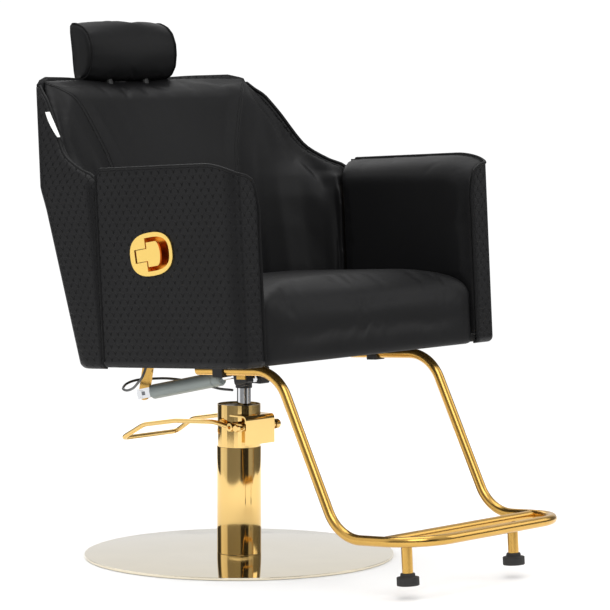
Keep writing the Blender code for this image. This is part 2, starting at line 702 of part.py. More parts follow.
def make_handle(frame, seat, outer, core):
    """Finger cup and flap; x points into the arm, -y forward."""
    rim = [(-y, z) for y, z in superellipse(BEZEL_LENGTH / 2, BEZEL_HEIGHT / 2, 2.5, 40)]
    cup = [(-y, z) for y, z in superellipse(0.0485, 0.0345, 2.6, 32)]
    hole = [(-y, z) for y, z in superellipse(0.0490, 0.0350, 2.6, 32)]
    bezel = finish("handle_bezel", prism(rim, -BEZEL_THICKNESS, -GAP, "X"), "bright_gold", frame)
    join(bezel, prism(cup, -0.0010, CUP_DEPTH, "X"))
    front = [(-y, z) for y, z in superellipse(0.0460, 0.0310, 2.8, 40) if y > -0.0130]
    front = sorted(front, key=lambda point: math.atan2(point[1], -point[0]))
    front = [(0.0130, -0.0300)] + front + [(0.0130, 0.0300)]
    cut(bezel, prism(front, -0.01, CUP_POCKET, "X"))
    stem = bmesh.new()
    box(stem, (-0.01, CUP_POCKET), (0.0100, FLAP_PIN_Y + FLAP_TAIL_SWING), (-0.0125, 0.0125))
    cut(bezel, stem)
    cut(bezel, rod(0.0021, -0.0178, 0.0178, (FLAP_PIN_X, FLAP_PIN_Y, 0.0), segments=12))
    pocket = prism(hole, -0.02, CUP_DEPTH + 0.0006, "X")
    for target in (outer, core):
        number = len(target.modifiers) + 1
        tool = cutter(f"{target.name}_cutter_{number}", pocket.copy(), frame)
        combine(target, tool, "DIFFERENCE")
    pocket.free()
    pin = rod(0.0018, -0.0172, 0.0172, (FLAP_PIN_X, FLAP_PIN_Y, 0.0), segments=12)
    finish("handle_pin", pin, "steel", frame)


def make_flap(frame):
    """T-shaped flap, about its pin."""
    top = -FLAP_PIN_X - BEZEL_THICKNESS
    half = FLAP_PAD_HALF
    bm = bmesh.new()
    box(bm, (top, top + 0.0055), (FLAP_PAD_REAR - 0.0020, 0.0075), (-0.0112, 0.0112))
    flap = finish("handle_flap", bm, "bright_gold", frame)
    pad = [(FLAP_PAD_REAR, -half), (FLAP_PAD_REAR, half)]
    pad += arc((FLAP_PAD_FRONT, 0.0), (0.0100, half), 90, 270, 9)
    join(flap, prism(pad, top, top + 0.0040, "X"))
    join(flap, rod(0.0045, -0.0112, 0.0112, segments=16))
    cut(flap, rod(0.0021, -0.02, 0.02, segments=12))


# ---------------------------------------------------------------- reclining back

def drawn_height(z):
    """Height on the back's drawn outline that belongs to a height on the back itself."""
    above = max(0.0, z - WING_START)
    return min(z, WING_START) + above * (DRAWN_TOP - WING_START) / (BACK_TOP - WING_START)


def built_height(z):
    """Height on the back itself of a height on its drawn outline."""
    above = max(0.0, z - WING_START)
    return min(z, WING_START) + above * (BACK_TOP - WING_START) / (DRAWN_TOP - WING_START)


def set_back(z):
    """How far the lean carries a drawn point back when the back is built taller."""
    return BACK_LEAN * (z - drawn_height(z))


def half_width(z):
    return ARM_OUTER_X - 0.0010 - max(0.0, drawn_height(z) - 0.340) * 0.321


def front_edge(z):
    """Y of the side panel's front edge: upright by the arm, then sweeping back above it."""
    rows = [(0.0, 0.006), (0.320, 0.006), (0.3543, 0.0122), (0.3699, 0.0539), (0.3939, 0.1000)]
    rows += [(0.4141, 0.1203), (0.4697, 0.1558), (0.5195, 0.1936), (DRAWN_TOP, 0.2140)]
    return smooth_table(drawn_height(z), rows) + set_back(z)


def outer_curve(z, skin):
    """Right half of the back's plan, from the side's front edge to the middle of the rear."""
    wide = half_width(z)
    corner = table(drawn_height(z), [(0.300, 0.050), (DRAWN_TOP, 0.016)])
    rear = 0.094 + BACK_LEAN * z
    start = front_edge(z)
    low = rear - corner
    points = [(wide - skin, start), (wide - skin, start + (low - start) * 0.5)]
    points += arc((wide - corner, low), corner - skin, 0, 90, 5)
    for k in range(1, 6):
        x = (wide - corner) * (1 - k / 5)
        bulge = BACK_BULGE * (1 - (x / (wide - corner)) ** 2)
        points.append((x, rear + bulge - skin))
    return points


def mirrored(points):
    """Both halves of a plan whose last point is on the middle line."""
    return points + [(-x, y) for x, y in reversed(points[:-1])]


def inner_curve(z):
    """Right half of the padded front of the back: wing, seam, then the middle panel."""
    drawn = drawn_height(z)
    shoulder = built_height(0.372)
    seam_x = table(drawn, [(0.0, 0.128), (0.3846, 0.181), (0.4302, 0.1975), (0.5013, 0.231),
                           (DRAWN_TOP, 0.262)])
    seam_y = table(drawn, [(0.0, 0.0760), (0.160, 0.1035), (0.3846, 0.1505), (0.5013, 0.1755),
                           (0.5325, 0.1948), (DRAWN_TOP, 0.2270)]) + set_back(z)
    dish = table(drawn, [(0.0, 0.008), (0.380, 0.014), (0.500, 0.036), (DRAWN_TOP, 0.042)])
    inside_top = half_width(BACK_TOP) - 0.021
    edge_x = table(drawn, [(0.324, ARM_INNER_X + 0.0010), (0.372, ARM_OUTER_X - 0.0285),
                           (DRAWN_TOP, inside_top)])
    edge_y = front_edge(z)
    if z < shoulder:
        edge_y = table(z, [(0.324, -0.012), (shoulder, front_edge(shoulder))])
    points = []
    for angle in (90, 72, 54, 36, 18, 0):
        c, s = math.cos(math.radians(angle)), math.sin(math.radians(angle))
        points.append((seam_x + (edge_x - seam_x) * s, edge_y + (seam_y - edge_y) * c))
    for k in range(1, 5):
        x = seam_x * (1 - k / 4)
        points.append((x, seam_y + dish * (1 - (x / seam_x) ** 2)))
    return points


def make_back(recline):
    levels = [0.0, 0.080, 0.160, 0.240, 0.300, 0.337, 0.3460, 0.3543, 0.3620, 0.3699, 0.3810, 0.3939]
    levels += [0.4141, 0.430, 0.450, 0.4697, 0.4870, 0.505, 0.5195, 0.5360, DRAWN_TOP]
    levels = [built_height(z) for z in levels]
    rings = []
    for z in levels:
        plan = mirrored(outer_curve(z, 0.0)) + mirrored(outer_curve(z, BACK_SKIN))[::-1]
        rings.append([(x, y - HINGE_Y, z - HINGE_Z) for x, y in plan])
    finish("back_shell", rings_to_mesh(rings), "woven_leather", recline)
    rings = []
    for z in [PAD_BOTTOM] + levels[1:]:
        plan = mirrored(inner_curve(z)) + mirrored(outer_curve(z, BACK_SKIN + GAP))[::-1]
        rings.append([(x, y - HINGE_Y, z - HINGE_Z) for x, y in plan])
    pad = finish("back_pad", rings_to_mesh(rings), "black_leather", recline)
    slide = Matrix.Translation((0.0, POST_Y - HINGE_Y, BACK_TOP - HINGE_Z)) @ Matrix.Rotation(-POST_LEAN, 4, "X")
    for side in (1, -1):
        bore = rod(GUIDE_RADIUS + GAP, -GUIDE_LENGTH - 0.052, 0.03, (side * POST_X, 0.0, 0.0), segments=16)
        bmesh.ops.transform(bore, matrix=slide, verts=bore.verts)
        cut(pad, bore)
    frame = rod(HINGE_TUBE_RADIUS, -HINGE_TUBE_HALF, HINGE_TUBE_HALF, axis="X", segments=20)
    frame = finish("back_frame", frame, "satin_gold", recline)
    plate = bmesh.new()
    box(plate, (-0.150, 0.150), (0.0040, 0.0860), (-HINGE_Z - 0.0050, -HINGE_Z - 0.0008))
    join(frame, plate)


def lever_pin():
    """The gas spring's rear pivot, about the recline axis, in the seat frame."""
    hinge = seat_to_world(HINGE_Y, HINGE_Z)
    dy, dz = SPRING_REAR[0] - hinge[0], SPRING_REAR[1] - hinge[1]
    c, s = math.cos(SEAT_TILT), math.sin(SEAT_TILT)
    return dy * c - dz * s, dy * s + dz * c


def seat_to_world(y, z):
    c, s = math.cos(SEAT_TILT), math.sin(SEAT_TILT)
    return y * c + z * s, SEAT_HEIGHT - y * s + z * c


def make_lever(recline):
    y, z = lever_pin()
    turn = math.degrees(math.atan2(z, y))
    outline = arc((0.0, 0.0), LEVER_RADIUS, turn + 90, turn + 270, 8)
    outline += arc((y, z), LEVER_RADIUS, turn - 90, turn + 90, 8)
    span = (LEVER_X - LEVER_THICKNESS / 2, LEVER_X + LEVER_THICKNESS / 2)
    lever = finish("recline_lever", prism(outline, *span, "X"), "satin_gold", recline)
    cut(lever, rod(HINGE_TUBE_RADIUS + GAP, -0.3, 0.3, axis="X", segments=20))
    cut(lever, rod(SPRING_PIN_RADIUS + LEVER_PIN_PLAY, -0.3, 0.3, (0.0, y, z), "X", 16))


# ---------------------------------------------------------------- headrest

HEADREST_SECTION = [            # D shape as (y, z) in the seat frame: leaning flat rear, round front
    (0.2960, 0.5535), (0.2750, 0.5535), (0.2600, 0.5580), (0.2480, 0.5720), (0.2430, 0.5920),
    (0.2440, 0.6150), (0.2520, 0.6380), (0.2660, 0.6530), (0.2850, 0.6620), (0.3020, 0.6640),
    (0.3075, 0.6590), (0.3000, 0.5555),
]


def make_headrest(slider):
    c, s = math.cos(POST_LEAN), math.sin(POST_LEAN)
    section = []
    for y, z in HEADREST_SECTION:
        dy, dz = y - POST_SETBACK - BACK_LEAN * DRAWN_TOP, z - DRAWN_TOP
        section.append((dy * c - dz * s, dy * s + dz * c))
    middle_y = sum(y for y, z in section) / len(section)
    middle_z = sum(z for y, z in section) / len(section)
    rings = []
    for x, scale in HEADREST_ENDS:
        rings.append([(x, middle_y + (y - middle_y) * scale, middle_z + (z - middle_z) * scale)
                      for y, z in section])
    pad = finish("headrest_pad", rings_to_mesh(rings), "black_leather", slider)
    for side, label in ((1, "left"), (-1, "right")):
        place = (side * POST_X, 0.0, 0.0)
        cut(pad, rod(POST_RADIUS + GAP, -0.02, POST_BURY + GAP, place, segments=12))
        post = rod(POST_RADIUS, POST_BURY - POST_LENGTH, POST_BURY, place, segments=16)
        finish(f"headrest_post_{label}", post, "chrome", slider)


def make_guides(slide_frame):
    for side, label in ((1, "left"), (-1, "right")):
        place = (side * POST_X, 0.0, 0.0)
        guide = ring(POST_RADIUS + GAP, GUIDE_RADIUS, -GUIDE_LENGTH, 0.0010, place, segments=16)
        finish(f"post_guide_{label}", guide, "black_plastic", slide_frame)


# ---------------------------------------------------------------- gas spring

def spring_length():
    return math.dist(SPRING_FRONT, SPRING_REAR)


def make_spring_rod(frame):
    """Release head and rod; +y runs to the rear pivot."""
    half = SPRING_HEAD_HALF
    bm = bmesh.new()
    box(bm, (-half, half), (-half, SPRING_HEAD_LENGTH), (-0.0180, 0.0110))
    bmesh.ops.bevel(bm, geom=bm.edges[:], offset=0.0025, segments=1, profile=0.5, affect="EDGES")
    head = finish("release_head", bm, "black_steel", frame)
    cut(head, rod(0.0036, -0.03, 0.03, axis="X", segments=12))
    y, z = RELEASE_PIVOT
    slot = bmesh.new()
    box(slot, (-0.0020, 0.0020), (y - 0.0050, y + 0.0050), (-0.03, z + 0.0045))
    cut(head, slot)
    join(head, rod(RELEASE_PIN_RADIUS, -half + 0.002, half - 0.002, (0.0, y, z), "X", 10))
    start = SPRING_HEAD_LENGTH + GAP
    r = SPRING_ROD_RADIUS
    disc = SPRING_BODY_RADIUS - SPRING_BODY_WALL - 0.0006
    profile = [(r, start), (r, PISTON_DISC_START), (disc, PISTON_DISC_START), (disc, PISTON_DISC_END)]
    finish("gas_spring_rod", solid_turned(profile, 16, axis="Y"), "chrome", frame)


def make_release_lever(frame):
    """A plate under the release head, on a lug that the head's pin goes through."""
    bm = bmesh.new()
    box(bm, (-0.0050, 0.0050), (-0.0040, RELEASE_REACH), (-0.0080, -0.0050))
    lever = finish("release_lever", bm, "black_steel", frame)
    lug = bmesh.new()
    box(lug, (-0.0015, 0.0015), (-0.0030, 0.0030), (-0.0060, 0.0030))
    join(lever, lug)
    cut(lever, rod(RELEASE_PIN_RADIUS + GAP, -0.01, 0.01, axis="X", segments=10))


def make_spring_body(frame):
    front = SPRING_HEAD_LENGTH + SPRING_EXPOSED_ROD
    rear = spring_length() - SPRING_CLEVIS
    outer, inner = SPRING_BODY_RADIUS, SPRING_BODY_RADIUS - SPRING_BODY_WALL
    hole = SPRING_ROD_RADIUS + GAP
    profile = [(hole, front), (outer - 0.0030, front), (outer, front + 0.0030), (outer, rear - 0.0040)]
    profile += [(outer - 0.0040, rear), (0.0020, rear), (0.0020, rear - 0.0070), (inner, rear - 0.0070)]
    profile += [(inner, front + 0.0100), (hole, front + 0.0100)]
    finish("gas_spring_body", turned(profile, 20, axis="Y"), "grey_paint", frame)
    end = spring_length()
    gap = LEVER_THICKNESS / 2 + 0.0010
    bm = bmesh.new()
    box(bm, (-0.0085, 0.0085), (rear + GAP, end + 0.0095), (-0.0095, 0.0095))
    clevis = finish("gas_spring_clevis", bm, "chrome", frame)
    slot = bmesh.new()
    box(slot, (-gap, gap), (rear + 0.0035, end + 0.0200), (-0.02, 0.02))
    cut(clevis, slot)
    join(clevis, rod(SPRING_PIN_RADIUS, -0.0115, 0.0115, (0.0, end, 0.0), "X", 12))
    for low in (-0.0130, 0.0083):
        join(clevis, rod(0.0072, low, low + 0.0047, (0.0, end, 0.0), "X", 6))


def make_spring_bracket(seat):
    """Two cheeks and a pin that hold the release head under the board."""
    hinge_y, hinge_z = world_to_seat(*SPRING_FRONT)
    top = BOARD_BOTTOM - GAP
    bm = bmesh.new()
    box(bm, (LEVER_X - 0.0140, LEVER_X + 0.0140), (hinge_y - 0.0110, hinge_y + 0.0110), (top - 0.0030, top))
    bracket = finish("gas_spring_bracket", bm, "satin_gold", seat, smooth=False)
    for side in (-1, 1):
        cheek = bmesh.new()
        span = sorted((LEVER_X + side * 0.0110, LEVER_X + side * 0.0140))
        box(cheek, span, (hinge_y - 0.0105, hinge_y + 0.0105), (hinge_z - 0.0100, top - 0.0010))
        join(bracket, cheek)
    join(bracket, rod(0.0032, -0.0165, 0.0165, (LEVER_X, hinge_y, hinge_z), "X", 12))


def world_to_seat(y, z):
    c, s = math.cos(SEAT_TILT), math.sin(SEAT_TILT)
    dz = z - SEAT_HEIGHT
    return y * c - dz * s, y * s + dz * c


# ---------------------------------------------------------------- footrest

def footrest_path():
    x = FOOTREST_X
    half = [(x, TUBE_START_Y, TUBE_TOP_Z), (x, TUBE_UPPER_Y, TUBE_TOP_Z), (x, TUBE_LOWER_Y, TUBE_LOW_Z)]
    half += [(x, TUBE_FRONT_Y, TUBE_LOW_Z)]
    corners = half + [(-px, py, pz) for px, py, pz in reversed(half)]
    bends = [TUBE_UPPER_BEND, TUBE_LOWER_BEND, LOOP_CORNER]
    return filleted(corners, bends + bends[::-1], 5)


def make_footrest(seat):
    finish("footrest_tube", swept_pipe(footrest_path(), TUBE_RADIUS, TUBE_WALL, 12), "satin_gold", seat)
    into_corner = max(0.0, TUBE_FRONT_Y + LOOP_CORNER - CROSSBAR_Y + CROSSBAR_RADIUS)
    reach = FOOTREST_X - TUBE_RADIUS - GAP * 2 - into_corner ** 2 / LOOP_CORNER
    bar = rod(CROSSBAR_RADIUS, -reach, reach, (0.0, CROSSBAR_Y, TUBE_LOW_Z), "X", 16)
    finish("footrest_crossbar", bar, "satin_gold", seat)
    leg_top = TUBE_LOW_Z - CROSSBAR_RADIUS - GAP
    foot_top = FOOT_BOTTOM + FOOT_HEIGHT
    for side, label in ((1, "left"), (-1, "right")):
        place = (side * LEG_X, CROSSBAR_Y, 0.0)
        leg_bottom = FOOT_BOTTOM + 0.0100
        finish(f"foot_leg_{label}", rod(LEG_RADIUS, leg_bottom, leg_top, place, segments=20), "satin_gold", seat)
        bore, floor = LEG_RADIUS + GAP, leg_bottom - GAP
        profile = [(0.0015, FOOT_BOTTOM), (FOOT_RADIUS - 0.002, FOOT_BOTTOM), (FOOT_RADIUS, FOOT_BOTTOM + 0.002)]
        profile += [(FOOT_RADIUS, foot_top - 0.0015), (FOOT_RADIUS - 0.0015, foot_top)]
        profile += [(0.0140, foot_top + 0.0005), (0.0130, foot_top + 0.0070), (bore, foot_top + 0.0070)]
        profile += [(bore, floor), (0.0015, floor)]
        finish(f"foot_bumper_{label}", turned(profile, 16, place), "rubber", seat)
        clamp = bmesh.new()
        top = BOARD_BOTTOM - GAP
        low = TUBE_TOP_Z - TUBE_RADIUS - 0.0030
        x = side * FOOTREST_X
        box(clamp, (x - CLAMP_HALF, x + CLAMP_HALF), (-0.172, -0.148), (low, top))
        clamp = finish(f"footrest_clamp_{label}", clamp, "black_steel", seat, smooth=False)
        cut(clamp, rod(TUBE_RADIUS + GAP, -0.20, -0.12, (x, 0.0, TUBE_TOP_Z), "Y", 24))


# ---------------------------------------------------------------- release cable

CABLE_ROUTE = [
    (-0.3365, -0.1200, 0.1680), (-0.3365, -0.1100, 0.1000), (-0.3365, -0.0920, 0.0300),
    (-0.3320, -0.0700, -0.0100), (-0.3120, -0.0330, -0.0290), (-0.2850, 0.0070, -0.0410),
    (-0.2580, 0.0500, -0.0480), (-0.2330, 0.0860, -0.0470), (-0.2080, 0.1010, -0.0400),
    (-0.1830, 0.0990, -0.0350), (-0.1650, 0.0750, -0.0335), (-0.1600, 0.0350, -0.0330),
    (-0.1600, -0.0150, -0.0370), (-0.1660, -0.0700, -0.0440), (-0.1760, -0.1120, -0.0490),
    (-0.1870, -0.1560, -0.0500),
]


def smooth_route(points, steps):
    """Catmull-Rom curve through a route's points."""
    route = [Vector(p) for p in points]
    padded = [route[0] * 2 - route[1]] + route + [route[-1] * 2 - route[-2]]
    result = []
    for a, b, c, d in zip(padded, padded[1:], padded[2:], padded[3:]):
        for k in range(steps):
            t = k / steps
            result.append(0.5 * ((2 * b) + (c - a) * t + (2 * a - 5 * b + 4 * c - d) * t * t
                                 + (3 * b - a - 3 * c + d) * t ** 3))
    result.append(route[-1])
    return result


def make_cable(seat):
    points = smooth_route(CABLE_ROUTE, 2)
    curve = bpy.data.curves.new("release_cable", "CURVE")
    curve.dimensions = "3D"
    curve.bevel_depth = 0.0024
    curve.bevel_resolution = 1
    curve.use_fill_caps = True
    spline = curve.splines.new("POLY")
    spline.points.add(len(points) - 1)
    for slot, point in zip(spline.points, points):
        slot.co = (*point, 1.0)
    curve.materials.append(material("black_plastic"))
    obj = bpy.data.objects.new("release_cable", curve)
    obj.parent = seat
    bpy.context.collection.objects.link(obj)


def main():
    clear_scene()
    make_base()
    well = make_pump()
    make_bracket()
    make_pedal(empty("pedal_axis", (0.0, PEDAL_Y, PEDAL_Z)))
    make_plunger(well)
    make_piston()

    lift = empty("lift_axis", (0.0, ROD_OFFSET, 0.0))
    seat = empty("seat_frame", (0.0, 0.0, SEAT_HEIGHT), -SEAT_TILT)
    make_socket(lift)
    make_seat_frame(seat)
    make_cushion(seat)
    make_arm(seat, 1, "left")
    outer, core = make_arm(seat, -1, "right")
    cut(core, cable_slot(-0.02, HANDLE_Z - 0.030))
    handle = empty("handle_frame", (-ARM_OUTER_X, HANDLE_Y, HANDLE_Z), -HANDLE_TURN, seat)
    make_handle(handle, seat, outer, core)
    make_flap(empty("flap_axis", (FLAP_PIN_X, FLAP_PIN_Y, 0.0), 0.0, handle))
    make_footrest(seat)
    make_cable(seat)

    recline = empty("recline_axis", (0.0, HINGE_Y, HINGE_Z), 0.0, seat)
    make_back(recline)
    make_lever(recline)
    slide = empty("headrest_slide", (0.0, POST_Y - HINGE_Y, BACK_TOP - HINGE_Z), -POST_LEAN, recline)
    make_guides(slide)
    make_headrest(slide)

    drop = math.atan2(SPRING_REAR[1] - SPRING_FRONT[1], SPRING_REAR[0] - SPRING_FRONT[0])
    spring = empty("gas_spring_axis", (LEVER_X, *SPRING_FRONT), drop)
    make_spring_bracket(seat)
    make_spring_rod(spring)
    make_release_lever(empty("release_axis", (0.0, *RELEASE_PIVOT), 0.0, spring))
    make_spring_body(spring)


main()
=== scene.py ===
"""Hydraulic barber chair: upholstery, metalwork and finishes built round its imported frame.

Metres, +Z up, the sitter faces -Y and +X is the sitter's left."""
import math

import bmesh
import bpy
from mathutils import Matrix, Vector
from mathutils.bvhtree import BVHTree


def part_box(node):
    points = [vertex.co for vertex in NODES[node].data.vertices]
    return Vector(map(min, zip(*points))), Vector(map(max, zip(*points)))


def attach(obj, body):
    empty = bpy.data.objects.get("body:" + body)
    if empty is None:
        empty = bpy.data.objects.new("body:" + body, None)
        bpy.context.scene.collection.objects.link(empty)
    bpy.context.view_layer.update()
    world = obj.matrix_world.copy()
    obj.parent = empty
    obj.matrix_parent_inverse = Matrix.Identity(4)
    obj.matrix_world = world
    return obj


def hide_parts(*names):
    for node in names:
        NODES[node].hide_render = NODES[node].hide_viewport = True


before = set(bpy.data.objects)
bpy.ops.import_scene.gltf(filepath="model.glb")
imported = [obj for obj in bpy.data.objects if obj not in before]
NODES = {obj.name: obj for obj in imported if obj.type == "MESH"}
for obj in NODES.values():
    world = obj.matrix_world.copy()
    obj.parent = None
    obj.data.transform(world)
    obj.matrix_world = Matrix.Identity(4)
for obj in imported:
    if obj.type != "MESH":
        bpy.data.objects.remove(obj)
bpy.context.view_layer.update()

bl_info = {
    "name": "Barber Chair Builder",
    "version": (1, 0, 0),
    "blender": (4, 5, 0),
    "location": "3D View > Sidebar > Barber Chair",
    "description": "Upholsters and finishes a hydraulic barber chair on its frame",
    "category": "Object",
}

# Upholstery sizes in the seat's own frame, as on the frame's drawings
ARM_OUTER = 0.3615
ARM_INNER = 0.3025
ARM_FRONT = -0.3500
ARM_CORNER = (0.0160, 0.0360)   # the soft front corner, across and along the arm
ARM_TOP = 0.3690
ARM_NOSE = 0.0200               # how far the arm's top falls at its very front
ROLL = 0.0120                   # radius of the panels' rolled lower edges

# Frames of reference
SEAT_TILT = math.radians(3.4)
POST_LEAN = math.atan(0.25)
SPRING_FRONT = (-0.1950, 0.3830)
SPRING_REAR = (0.0692, 0.3260)
SPRING_DROP = math.atan2(SPRING_REAR[1] - SPRING_FRONT[1], SPRING_REAR[0] - SPRING_FRONT[0])
SEAT = Matrix.Translation((0.0, 0.0, 0.390)) @ Matrix.Rotation(-SEAT_TILT, 4, "X")
SLIDER = SEAT @ Matrix.Translation((0.0, 0.2725, 0.548)) @ Matrix.Rotation(-POST_LEAN, 4, "X")
HANDLE_TURN = math.radians(6.6)
HANDLE = (SEAT @ Matrix.Translation((-ARM_OUTER, -0.136, 0.212))
          @ Matrix.Rotation(-HANDLE_TURN, 4, "X"))
SPRING = Matrix.Translation((-0.190, *SPRING_FRONT)) @ Matrix.Rotation(SPRING_DROP, 4, "X")

ARM_INNER_TOP = 0.3240
ARM_BOTTOM = 0.0030
ARM_REAR = 0.0030
ARM_SKIN = 0.0045
BACK_TOP = 0.5480
BACK_SKIN = 0.0120
BACK_BULGE = 0.0660
TOP_CORNER = 0.0160             # radius of the back's top corners
TOP_DIP = 0.0040                # how far the back's top edge dips under the headrest
FLOOR_HALF = 1.8                # small, so that polished metal reflects the walls past it


# ---------------------------------------------------------------- settings

class ChairFinish(bpy.types.PropertyGroup):
    """Sizes and colours of the chair's upholstery and metalwork."""
    leather: bpy.props.FloatVectorProperty(
        name="Leather", description="Colour of the smooth leather", subtype="COLOR",
        default=(0.0062, 0.0062, 0.0066))
    weave: bpy.props.FloatVectorProperty(
        name="Embossed leather", description="Colour of the outside panels", subtype="COLOR",
        default=(0.0058, 0.0058, 0.0062))
    base_gold: bpy.props.FloatVectorProperty(
        name="Base gold", description="Colour of the mirror-polished base and pump", subtype="COLOR",
        default=(0.78, 0.53, 0.20))
    tube_gold: bpy.props.FloatVectorProperty(
        name="Tube gold", description="Colour of the satin footrest tube", subtype="COLOR",
        default=(0.62, 0.37, 0.095))
    handle_gold: bpy.props.FloatVectorProperty(
        name="Handle gold", description="Colour of the recline handle", subtype="COLOR",
        default=(1.0, 0.70, 0.20))
    spring_paint: bpy.props.FloatVectorProperty(
        name="Gas spring paint", description="Colour of the gas spring's body", subtype="COLOR",
        default=(0.24, 0.27, 0.26))
    floor: bpy.props.FloatVectorProperty(
        name="Floor", description="Colour of the studio floor", subtype="COLOR",
        default=(0.97, 0.97, 0.97))
    weave_pitch: bpy.props.FloatProperty(
        name="Emboss pitch", description="Width of one embossed scale", subtype="DISTANCE",
        unit="LENGTH", default=0.0190)
    piping_radius: bpy.props.FloatProperty(
        name="Piping radius", description="Half the thickness of the corded edges", subtype="DISTANCE",
        unit="LENGTH", default=0.0031)
    stitch: bpy.props.FloatProperty(
        name="Stitch length", description="Length of one stitch in the seams", subtype="DISTANCE",
        unit="LENGTH", default=0.0042)
    seat_swell: bpy.props.FloatProperty(
        name="Seat swell", description="How far the seat cushion may puff up", subtype="DISTANCE",
        unit="LENGTH", default=0.006)
    back_swell: bpy.props.FloatProperty(
        name="Back swell", description="How far the back padding may puff up", subtype="DISTANCE",
        unit="LENGTH", default=0.008)


def settings():
    """The chair's sizes and colours, as the panel shows them."""
    return bpy.context.scene.chair_finish


# ---------------------------------------------------------------- shader helpers

class Value:
    """A shader socket; Python's operators on it add Math nodes."""

    def __init__(self, look, socket):
        self.look = look
        self.socket = socket

    def maths(self, operation, *others):
        inputs = dict(enumerate((self, *others)))
        return self.look.value("ShaderNodeMath", {"operation": operation}, inputs)

    def __add__(self, other):
        return self.maths("ADD", other)

    def __sub__(self, other):
        return self.maths("SUBTRACT", other)

    def __mul__(self, other):
        return self.maths("MULTIPLY", other)

    def __truediv__(self, other):
        return self.maths("DIVIDE", other)

    def __mod__(self, other):
        return self.maths("FLOORED_MODULO", other)

    def __rsub__(self, other):
        return self * -1.0 + other

    __radd__ = __add__
    __rmul__ = __mul__

    def step(self, low, high):
        """0 below low, 1 above high, smooth between."""
        inputs = {"Value": self, "From Min": low, "From Max": high}
        return self.look.value("ShaderNodeMapRange", {"interpolation_type": "SMOOTHSTEP"}, inputs)


class Look:
    """A material built round its Principled shader."""

    def __init__(self, name, colour, roughness, metallic=0.0, specular=0.5):
        self.material = bpy.data.materials.new(name)
        self.material.use_nodes = True
        self.tree = self.material.node_tree
        self.shader = self.tree.nodes["Principled BSDF"]
        self.set("Base Color", (*colour, 1.0))
        self.set("Roughness", roughness)
        self.set("Metallic", metallic)
        self.set("Specular IOR Level", specular)
        self.place = self.add("ShaderNodeTexCoord").outputs["Object"]

    def set(self, socket, value):
        self.shader.inputs[socket].default_value = value

    def add(self, kind, settings=None, inputs=None):
        node = self.tree.nodes.new(kind)
        for key, value in (settings or {}).items():
            if key == "stops":
                ramp(node.color_ramp, value)
            else:
                setattr(node, key, value)
        for key, value in (inputs or {}).items():
            source = value.socket if isinstance(value, Value) else value
            if isinstance(source, bpy.types.NodeSocket):
                self.tree.links.new(source, node.inputs[key])
            else:
                node.inputs[key].default_value = source
        return node

    def value(self, kind, settings=None, inputs=None):
        return Value(self, self.add(kind, settings, inputs).outputs[0])

    def drive(self, socket, value):
        source = value.socket if isinstance(value, Value) else value
        self.tree.links.new(source, self.shader.inputs[socket])

    def noise(self, scale, detail=2.0, place=None, distortion=0.0):
        inputs = {"Vector": place or self.place, "Scale": scale, "Detail": detail,
                  "Distortion": distortion}
        return self.value("ShaderNodeTexNoise", {}, inputs)

    def cells(self, scale):
        inputs = {"Vector": self.place, "Scale": scale}
        return self.value("ShaderNodeTexVoronoi", {"feature": "F1"}, inputs)

    def stretched(self, scale):
        """The piece's own coordinates, drawn out so that a noise becomes brush marks."""
        return self.add("ShaderNodeMapping", {}, {"Vector": self.place, "Scale": scale}).outputs[0]

    def axes(self, place=None):
        node = self.add("ShaderNodeSeparateXYZ", {}, {0: place or self.place})
        return [Value(self, output) for output in node.outputs]

    def mix(self, factor, first, second):
        """Blend of two colours."""
        inputs = {0: factor, 6: first, 7: second}
        return self.add("ShaderNodeMix", {"data_type": "RGBA"}, inputs).outputs[2]

    def bump(self, height, depth, strength=1.0):
        inputs = {"Height": height, "Distance": depth, "Strength": strength}
        self.drive("Normal", self.add("ShaderNodeBump", {}, inputs).outputs[0])


def ramp(colour_ramp, stops):
    elements = colour_ramp.elements
    while len(elements) < len(stops):
        elements.new(1.0)
    for element, (position, colour) in zip(elements, stops):
        element.position = position
        element.color = colour


def shade(colour, factor):
    """A colour made lighter or darker, with full alpha."""
    return (*(channel * factor for channel in colour), 1.0)


def smooth_leather(name, colour, grain=850.0):
    """Soft coated hide: fine pebble grain, faint creases, uneven sheen."""
    look = Look(name, colour, 0.42, specular=0.16)
    pebble = look.cells(grain)
    crease = look.noise(110.0, 5.0, distortion=0.6)
    cloud = look.noise(7.0, 3.0)
    look.drive("Base Color", look.mix(cloud, shade(colour, 0.85), shade(colour, 1.20)))
    look.drive("Roughness", 0.36 + cloud * 0.16 + pebble * 0.05)
    look.bump(pebble * 0.55 + crease * 0.45, 0.00022, 0.55)
    return look.material


